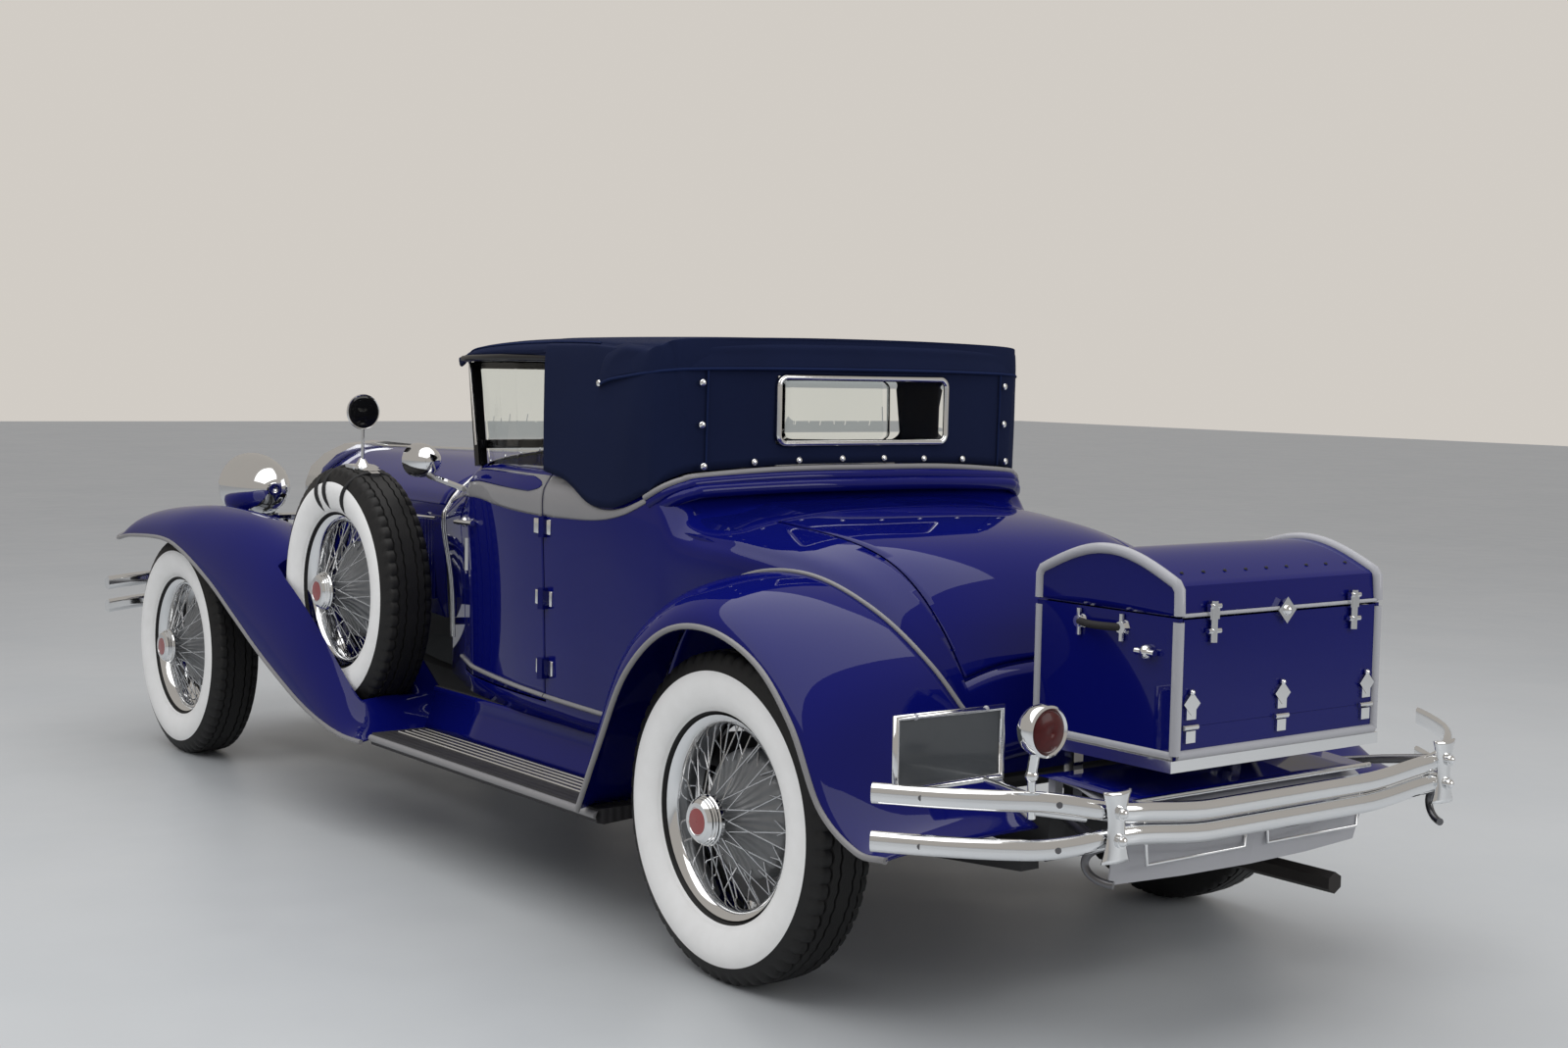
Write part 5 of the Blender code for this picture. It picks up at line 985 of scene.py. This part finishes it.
rear_line = [(0.657, -0.602, 1.128), (0.648, -0.565, 1.148), (0.63, -0.541, 1.164),
    (0.599, -0.521, 1.178), (0.547, -0.508, 1.189), (0.29, -0.489, 1.204), (0.0, -0.484, 1.206)]
belt_back = mirrored_row(rear_line)
rolled_bead("belt_rear", [through(belt_back, 12 * k / 96) for k in range(97)], 0.0085, silver_bead, "body")
for number, (back, down, radius) in enumerate(((0.006, 0.022, 0.016), (0.02, 0.046, 0.019))):
    narrow = 1 - 0.02 * (number + 1)
    roll = [(x * narrow, y + back, z - down * (1 - 0.35 * (abs(x) / belt_back[-1][0]) ** 4))
        for x, y, z in belt_back]
    rolled_bead("roll_rear_" + str(number + 1), [through(roll, 12 * k / 96) for k in range(97)], radius,
        cobalt, "body")

# The cowl band: two plated beads round the scuttle, one at each edge, where the bonnet ends.
for y, radius in ((-2.05, 0.006), (-2.018, 0.004)):
    band_line = [body_point(y, 11.2 * k / 100 - 5.6) + Vector((0.003 * (k - 50) / 50, 0, 0.003))
        for k in range(101)]
    rolled_bead("cowl_band_" + str(int(-1000 * y)), band_line, radius, chrome, "body")

# Door and bonnet hardware: the handle on its round boss with an upright rod below it, plated hinge
# leaves at the door's rear edge and on the body, and a lever catch on each bonnet side.
def ball(bm, at, radius, columns=14, rows=10):
    """A small sphere."""
    bmesh.ops.create_uvsphere(bm, u_segments=columns, v_segments=rows, radius=radius,
        matrix=Matrix.Translation(at))


for name, side in SIDES:
    bm = bmesh.new()
    at = side_surface(side, -1.7, 0.985, 0.004)
    stick(bm, at, at + Vector((side * 0.03, 0, 0)), 0.009, 14)
    heel, tip = at + Vector((side * 0.03, -0.01, 0.0)), at + Vector((side * 0.034, 0.105, 0.004))
    stick(bm, heel, tip, 0.0075, 14)
    ball(bm, at, 0.016, 16)
    low = side_surface(side, -1.7, 0.88, 0.002)
    stick(bm, low + Vector((0, 0, 0.055)), low - Vector((0, 0, 0.045)), 0.01, 14)
    settle("door_handle_" + name, bm, chrome, "door_" + name)
    for leaf, y, body in (("door_", DOOR_REAR - 0.028, "door_" + name),
            ("body_", DOOR_REAR + 0.032, "body")):
        bm = bmesh.new()
        for z in (1.015, 0.81, 0.61):
            block(bm, side_surface(side, y, z, 0.001), (0.008, 0.034, 0.044))
        bmesh.ops.bevel(bm, geom=bm.edges[:], affect='EDGES', offset=0.003, segments=3, profile=0.5,
            material=-1)
        settle("hinge_plates_" + leaf + name, bm, chrome, body, sharp=50.0)
    bm = bmesh.new()
    at = Vector((side * 0.468, -2.3, 0.96))
    stick(bm, at, at + Vector((side * 0.012, 0.19, 0.004)), 0.006, 12)
    ball(bm, at, 0.012)
    settle("bonnet_catch_" + name, bm, chrome, "bonnet_side_" + name)

# Lamps and mirrors: plated headlamp bowls with clear lenses, small cowl lamps, and round mirrors on
# plated saddles over the spare tyres, each tyre held down by three black straps.
dress("headlamps", chrome)
dress("cowl_lamps", chrome)
lens_glass = finish_of("lens_glass", {"Transmission Weight": 0.7, "IOR": 1.3, "Roughness": 0.08}, (30.0,),
    (0.75, 0.78, 0.78), (0.85, 0.87, 0.86))[0]
HEADLAMP_X, HEADLAMP_Z, MIRROR_Y, MIRROR_Z, STRAP_SPAN = 0.43, 0.976, -2.217, 1.309, 0.0985
for name, side in SIDES:
    lamp, mirror = (side * HEADLAMP_X, 0.0, HEADLAMP_Z), (side * SPARE_X, 0.0, MIRROR_Z)
    turned("headlamp_lens_" + name, [(-3.759, 0.001), (-3.758, 0.06), (-3.753, 0.118)], lamp,
        (0, 1, 0), 48, lens_glass, "body", shell=0.001)
    bowl = [(-3.754, 0.118), (-3.758, 0.126), (-3.752, 0.1295), (-3.738, 0.13), (-3.718, 0.1285),
        (-3.7, 0.127), (-3.633, 0.112), (-3.56, 0.082), (-3.53, 0.055), (-3.516, 0.028),
        (-3.512, 0.001)]
    turned("headlamp_bowl_" + name, bowl, lamp, (0, 1, 0), 60, chrome, "body", sharp=30.0, shell=0.002)
    bowl = [(-2.0225, 0.001), (-2.0215, 0.044), (-2.01, 0.055), (-1.985, 0.055), (-1.96, 0.052),
        (-1.93, 0.044), (-1.908, 0.03), (-1.899, 0.014), (-1.896, 0.001)]
    turned("cowl_lamp_bowl_" + name, bowl, (side * 0.6, 0.0, 1.161), (0, 1, 0), 48, chrome, "body",
        sharp=30.0)
    head = [(-2.208, 0.001), (-2.2085, 0.04), (-2.212, 0.0535), (-2.218, 0.0545), (-2.223, 0.05),
        (-2.226, 0.03), (-2.227, 0.001)]
    turned("mirror_head_" + name, head, mirror, (0, 1, 0), 48, gloss_black, "body", ("mirror_" + name,),
        sharp=50.0)
    bm = bmesh.new()
    spun(bm, [(-2.212, 0.053), (-2.2105, 0.056), (-2.215, 0.0575), (-2.22, 0.0565),
        (-2.221, 0.053)], mirror, (0, 1, 0), 48, True)
    stick(bm, (side * SPARE_X, MIRROR_Y, 1.15), (side * SPARE_X, MIRROR_Y, 1.253), 0.006, 16)
    cone(bm, 24, 0.03, 0.008, 0.034, Matrix.Translation((side * SPARE_X, -2.222, 1.142)))
    for lean in range(-3, 4):
        turn = 0.115 + 0.065 * lean
        place = (side * SPARE_X, SPARE_Y + WELL_R * math.sin(turn), SPARE_Z + WELL_R * math.cos(turn))
        block(bm, place, (0.085 - 0.006 * lean * lean, 0.03, 0.012), Matrix.Rotation(-turn, 4, 'X'))
    settle("mirror_saddle_" + name, bm, chrome, "body", sharp=40.0)
    strap_black = black_iron("strap_black_" + name, (0.01, 0.01, 0.011), 0.5)
    for strap, turn in (("a", -0.3), ("b", -0.12), ("c", 0.3)):
        line = []
        for k in range(49):
            round_tyre = 2 * math.pi * k / 48
            reach = 0.325 + 0.0815 * math.sin(round_tyre)
            line.append((side * (SPARE_X + STRAP_SPAN * math.cos(round_tyre)),
                SPARE_Y + reach * math.sin(turn), SPARE_Z + reach * math.cos(turn)))
        rolled_bead("spare_strap_" + name + "_" + strap, line, 0.0065, strap_black, "body")

# The trunk: blue lacquered boards with broad silver-grey edging round both ends, plated latches and
# hasp, straps with their hinge leaves, a leather handle at each end, and a plated rack under it.
TRUNK_HALF, TRUNK_FRONT, TRUNK_REAR = 0.342, 0.56, 0.99
LID_FOOT, LID_BEND, LID_RISE = 0.9635, 0.12, 0.0665
for node in ("trunk_body", "trunk_drop_panel"):
    dress(node, cobalt)


def lid_top(t):
    """The trunk lid's end outline, t from 0 at the front foot over the arc to 1 at the rear foot."""
    if t < LID_BEND:
        return Vector((0, TRUNK_FRONT + 0.002 + 0.008 * t / LID_BEND, LID_FOOT + LID_RISE * t / LID_BEND))
    if t > 0.88:
        back = 1 - t
        return Vector((0, TRUNK_REAR - 0.002 - 0.008 * back / LID_BEND,
            LID_FOOT + LID_RISE * back / LID_BEND))
    along = (t - LID_BEND) / 0.76
    return Vector((0, 0.57 + 0.41 * along, 1.03 + 0.063 * math.sin(math.pi * along)))


bm = shaped_grid(60, 12, lambda s, t: lid_top(s) + Vector((TRUNK_HALF * (2 * t - 1), 0, 0)))
for side in (1, -1):
    def lid_end(s, t, side=side):
        return Vector((side * TRUNK_HALF, lid_top(s).y, LID_FOOT + (lid_top(s).z - LID_FOOT) * t))
    shaped_grid(60, 8, lid_end, bm)
bmesh.ops.remove_doubles(bm, verts=bm.verts, dist=0.0004)
outward(bm, (0.0, 0.775, 0.9))
settle("trunk_lid_skin", bm, cobalt, "trunk_lid", ("trunk_lid",), 40.0, 0.008)
trim_silver = lacquer("trunk_trim_silver", (0.42, 0.42, 0.44), (0.36, 0.36, 0.38))
for name, side in SIDES:
    x = side * (TRUNK_HALF - 0.004)
    lid_arc = [(x, 0.574 + 0.402 * k / 24, 1.034 + 0.06 * math.sin(math.pi * k / 24)) for k in range(25)]
    lid_arc = [(x, 0.5655, 0.966), (x, 0.566, 1.02)] + lid_arc + [(x, 0.986, 1.02), (x, 0.988, 0.966)]
    for part, line, radius, body in (("lid_edging_", lid_arc, 0.0125, "trunk_lid"),
            ("edging_front_", [(x, 0.566, 0.664), (x, 0.566, 0.95)], 0.011, "body"),
            ("edging_low_", [(x, 0.566, 0.662), (x, 0.984, 0.662)], 0.01, "body"),
            ("edging_rear_", [(x, 0.986, 0.664), (x, 0.986, 0.952)], 0.0125, "body")):
        rolled_bead("trunk_" + part + name, line, radius, trim_silver, body)
rolled_bead("trunk_edging_foot", [(-0.338, 0.988, 0.664), (0.338, 0.988, 0.664)], 0.011, trim_silver, "body")
rolled_bead("trunk_lid_line", [(-0.33, 0.9905, 0.966), (0.33, 0.9905, 0.966)], 0.0045, trim_silver,
    "trunk_lid")
handle_leather = black_iron("handle_leather", (0.01, 0.009, 0.009), 0.55)
bm = bmesh.new()
for x in (-0.24, 0.24):
    block(bm, (x, 0.996, 0.972), (0.03, 0.01, 0.034))
    stick(bm, (x, 0.998, 0.995), (x, 0.998, 0.905), 0.0085, 12)
    for half, z in ((0.02, 0.93), (0.018, 0.984)):
        stick(bm, (x - half, 0.999, z), (x + half, 0.999, z), 0.006, 10)
cone(bm, 4, 0.03, 0.022, 0.012, Matrix.Translation((0, 0.996, 0.962)) @ LYING)
ball(bm, (0, 0.999, 0.962), 0.013)
settle("trunk_latches", bm, chrome, "trunk_lid", sharp=30.0)
bm = bmesh.new()
for k in range(9):
    for t in (0.2, 0.8):
        ball(bm, lid_top(t) + Vector((-0.28 + 0.07 * k, 0, 0)), 0.0045, 10, 6)
settle("trunk_rivets", bm, strap_black, "trunk_lid")
straps, leaves = bmesh.new(), bmesh.new()
for x in (-0.3, 0.0, 0.3):
    block(straps, (x, 0.9935, 0.753), (0.03, 0.006, 0.024))
    cone(straps, 4, 0.026, 0.02, 0.008, Matrix.Translation((x, 0.994, 0.775)) @ LYING)
    ball(straps, (x, 0.996, 0.8), 0.007, 10, 8)
    block(leaves, (x, 0.9935, 0.703), (0.03, 0.006, 0.026))
    stick(leaves, (x - 0.022, 0.9945, 0.724), (x + 0.022, 0.9945, 0.724), 0.006, 10)
settle("trunk_straps", straps, chrome, "trunk_drop_panel", sharp=30.0)
settle("trunk_hinge_leaves", leaves, chrome, "body", sharp=30.0)
HANDLE_Z, LOCK_Z = 0.925, 0.88
for name, side in SIDES:
    x = side * TRUNK_HALF
    grip = [(x + side * (0.006 + 0.02 * math.sin(math.pi * k / 12)), 0.705 + 0.12 * k / 12, HANDLE_Z)
        for k in range(13)]
    rolled_bead("trunk_handle_" + name, [(x + side * 0.004, 0.7, HANDLE_Z)] + grip, 0.009,
        handle_leather, "body")
    bm = bmesh.new()
    outward_turn = Matrix.Rotation(side * math.pi / 2, 4, 'Y')
    for y in (0.7, 0.83):
        cone(bm, 8, 0.02, 0.014, 0.012, Matrix.Translation((x + side * 0.005, y, HANDLE_Z)) @ outward_turn)
        rod_x = x + side * 0.006
        stick(bm, (rod_x, y, HANDLE_Z + 0.03), (rod_x, y, HANDLE_Z - 0.03), 0.006, 10)
    ball(bm, (x + side * 0.006, 0.906, LOCK_Z), 0.017)
    stick(bm, (x + side * 0.012, 0.88, LOCK_Z), (x + side * 0.012, 0.935, LOCK_Z), 0.008, 12)
    settle("trunk_side_metal_" + name, bm, chrome, "body", sharp=30.0)
dress("trunk_rack", chrome)

# The rear bumper: two polished spring bars with rounded faces, joined at each side by a flared
# clamp plate with two round bolts, on dark satin spring arms. The front bumper is a simple pair.
def bar_sheet(name, centre_line, half_height, count, replaced):
    """A bowed bar: a rounded face swept along its centre line, closed behind."""
    section = [(0.0, -1.0), (0.007, -0.92), (0.013, -0.62), (0.0155, -0.25), (0.0155, 0.25),
        (0.013, 0.62), (0.007, 0.92), (0.0, 1.0), (-0.004, 0.8), (-0.004, -0.8)]

    def bar_point(s, t):
        place = centre_line(s * 2 - 1)
        along = centre_line(min(1.0, s * 2 - 1 + 0.01)) - centre_line(max(-1.0, s * 2 - 1 - 0.01))
        along.normalize()
        face = Vector((0, 0, 1)).cross(along).normalized()
        if face.y * place.y < 0:
            face = -face
        u = t * len(section)
        k = int(u) % len(section)
        a, b = Vector(section[k]), Vector(section[(k + 1) % len(section)])
        out, up = a.lerp(b, u - int(u))
        return place + face * out + Vector((0, 0, up * half_height))
    bm = shaped_grid(count, 30, bar_point)
    bmesh.ops.remove_doubles(bm, verts=bm.verts, dist=0.00002)
    bmesh.ops.holes_fill(bm, edges=[e for e in bm.edges if e.is_boundary], sides=0)
    bmesh.ops.recalc_face_normals(bm, faces=bm.faces)
    return settle(name, bm, chrome, "body", replaced, 45.0)


def eased_step(share):
    """A smooth step from 0 to 1."""
    share = min(1.0, max(0.0, share))
    return share * share * (3 - 2 * share)


def rear_bar(level_sign):
    """The centre line of the rear bumper's upper (1) or lower (-1) bar; its points run from -1 to 1."""
    def line(t):
        a = abs(t)
        x = 0.95 * t * (1 - 0.1 * max(0.0, a - 0.8))
        y = 1.026 - 0.34 * max(0.0, a - 0.52) ** 1.7 / 0.29
        spread, level_out = eased_step((a - 0.53) / 0.22), eased_step((a - 0.27) / 0.31)
        dip = 0.022 * (1 - level_out)
        return Vector((x, y, 0.546 + level_sign * (0.024 + 0.027 * spread) - dip))
    return line


CLAMP_X, FRONT_CLAMP_X = 0.56, 0.46
for level, sign in (("upper", 1), ("lower", -1)):
    bar_sheet("bumper_rear_" + level, rear_bar(sign), 0.0225, 160, ("bumper_rear",) if sign > 0 else ())
for level, z in (("upper", 0.59), ("lower", 0.5)):
    bar_sheet("bumper_front_" + level, lambda t, z=z: Vector((0.9 * t, -4.24 + 0.22 * abs(t) ** 3.5, z)),
        0.026, 120, ("bumper_front",) if level == "upper" else ())
arm_iron = bright_metal("arm_iron", (0.17, 0.17, 0.18), 0.28, 0.15)
bm = bmesh.new()
for side in (1, -1):
    def clamp_point(s, t, x=side * CLAMP_X):
        flare = 0.026 + 0.016 * abs(2 * t - 1) ** 2
        return Vector((x + (2 * s - 1) * flare, 1.0445 - 0.01 * (2 * s - 1) ** 2, 0.471 + 0.15 * t))
    shaped_grid(10, 18, clamp_point, bm)
bmesh.ops.recalc_face_normals(bm, faces=bm.faces)
settle("bumper_clamps", bm, chrome, "body", (), 60.0, 0.006)
bm = bmesh.new()
for x in (-CLAMP_X, CLAMP_X):
    for z in (0.576, 0.518):
        stick(bm, (x, 1.04, z), (x, 1.0525, z), 0.015, 20)
        ball(bm, (x, 1.0505, z), 0.0115, 16, 8)
for x in (-FRONT_CLAMP_X, FRONT_CLAMP_X):
    for z in (0.59, 0.5):
        stick(bm, (x, -4.262, z), (x, -4.236, z), 0.012, 16)
    stick(bm, (x, -4.25, 0.46), (x, -4.25, 0.63), 0.014, 16)
settle("bumper_bolts", bm, chrome, "body", sharp=30.0)
rear_arm = [(0.4, 0.706, 0.5), (0.43, 0.8, 0.485), (0.5, 0.93, 0.48), (CLAMP_X, 1.0, 0.5),
    (CLAMP_X, 1.03, 0.515)]
high_arm = [(0.41, 0.72, 0.53), (0.5, 0.9, 0.56), (CLAMP_X, 1.02, 0.575)]
loop = [(CLAMP_X + 0.03 * math.sin(turn), 1.03 - 0.055 * math.sin(turn), 0.462 + 0.04 * math.cos(turn))
    for turn in (math.pi * k / 20 for k in range(21))]
front_arm = [(0.4, -3.96, 0.52), (0.43, -4.1, 0.545), (FRONT_CLAMP_X, -4.23, 0.545)]
for name, side in SIDES:
    for part, line, radius in (("rear_arm_", rear_arm, 0.014), ("rear_arm_high_", high_arm, 0.011),
            ("rear_loop_", loop, 0.009), ("front_arm_", front_arm, 0.015)):
        line = [(side * x, y, z) for x, y, z in line]
        rolled_bead("bumper_" + part + name, line, radius, arm_iron, "body")
    bm = bmesh.new()
    for t in (0.7, 0.93):
        for sign in (1, -1):
            spot = rear_bar(sign)(side * t)
            stick(bm, spot, spot + Vector((side * 0.006, 0.016, 0)), 0.007, 12)
    settle("bumper_small_bolts_" + name, bm, arm_iron, "body")

# Tail lamp: a plated drum on its stalk with a deep red lens; beside it the blank number plate in
# a silver frame with four screws.
TAIL_X, TAIL_Z, PLATE_Y = 0.712, 0.75, 0.713
red_lens = finish_of("red_lens", {"Coat Weight": 0.15, "Coat Roughness": 0.05, "Roughness": 0.35,
    "Specular IOR Level": 0.2}, (90.0, 2.0), (0.042, 0.003, 0.004), (0.085, 0.006, 0.006))[0]
turned("tail_lens", [(0.9905, 0.001), (0.989, 0.02), (0.984, 0.04), (0.979, 0.0455)],
    (TAIL_X, 0.0, TAIL_Z), (0, 1, 0), 40, red_lens, "body", ("tail_lamp",), shell=0.001)
bm = bmesh.new()
spun(bm, [(0.98, 0.044), (0.986, 0.049), (0.982, 0.054), (0.974, 0.055), (0.955, 0.0545),
    (0.942, 0.05), (0.93, 0.04), (0.924, 0.025), (0.922, 0.001)], (TAIL_X, 0.0, TAIL_Z),
    (0, 1, 0), 48)
stick(bm, (TAIL_X, 0.945, 0.705), (TAIL_X, 0.935, 0.655), 0.011, 16)
stick(bm, (TAIL_X, 0.935, 0.66), (0.699, 0.925, 0.56), 0.009, 16)
ball(bm, (TAIL_X, 0.936, 0.652), 0.014, 16)
stick(bm, (0.699, 0.925, 0.575), (0.6, 0.985, 0.56), 0.009, 12)
stick(bm, (0.64, 0.706, 0.6), (0.66, 0.925, 0.592), 0.007, 12)
stick(bm, (0.841, 0.706, 0.6), (0.7, 0.925, 0.586), 0.007, 12)
settle("tail_drum", bm, chrome, "body", sharp=30.0)
plate_grey, start, _ = finish_of("plate_enamel", {"Coat Weight": 0.6, "Coat Roughness": 0.1}, (12.0,),
    (0.035, 0.04, 0.045), (0.05, 0.056, 0.062))
feed(plate_grey, "Roughness", cloud(start, 30.0) * 0.1 + 0.35)
dress("number_plate", plate_grey)
corners = [(0.59, 0.6), (0.891, 0.6), (0.891, 0.753), (0.59, 0.753), (0.59, 0.6), (0.6, 0.6)]
rolled_bead("plate_frame", [(x, PLATE_Y, z) for x, z in corners], 0.0095, chrome, "body")
bm = bmesh.new()
for x in (0.64, 0.841):
    for z in (0.753, 0.6):
        ball(bm, (x, PLATE_Y + 0.0035, z), 0.0075, 12, 8)
settle("plate_screws", bm, trim_silver, "body", sharp=20.0)

# The tank cover: a blue top over a silver rear panel with two pressed frames and a bright edge.
dress("tank_cover", trim_silver)
def tank_point(s, t):
    """The tank cover's top, s across the car and t from its front to its rear edge."""
    return Vector(((2 * s - 1) * (0.428 - 0.024 * t), 0.667 + 0.266 * t, 0.5775 - 0.0155 * t))


panel("tank_top_skin", (12, 8), tank_point, (0.0, 0.8, 0.3), cobalt, "body", sharp=40.0,
    shell=0.001)
rolled_bead("tank_edge", [(-0.404, 0.936, 0.562), (0.404, 0.936, 0.562)], 0.006, chrome, "body")
for name, x in (("left", 0.2), ("right", -0.2)):
    high = [(x + half, 0.936, 0.535) for half in (-0.17, 0.17)]
    low = [(x + half, 0.9365, 0.42) for half in (0.16, -0.16)]
    rolled_bead("tank_panel_" + name, high + low + high[:1], 0.0045, chrome, "body")
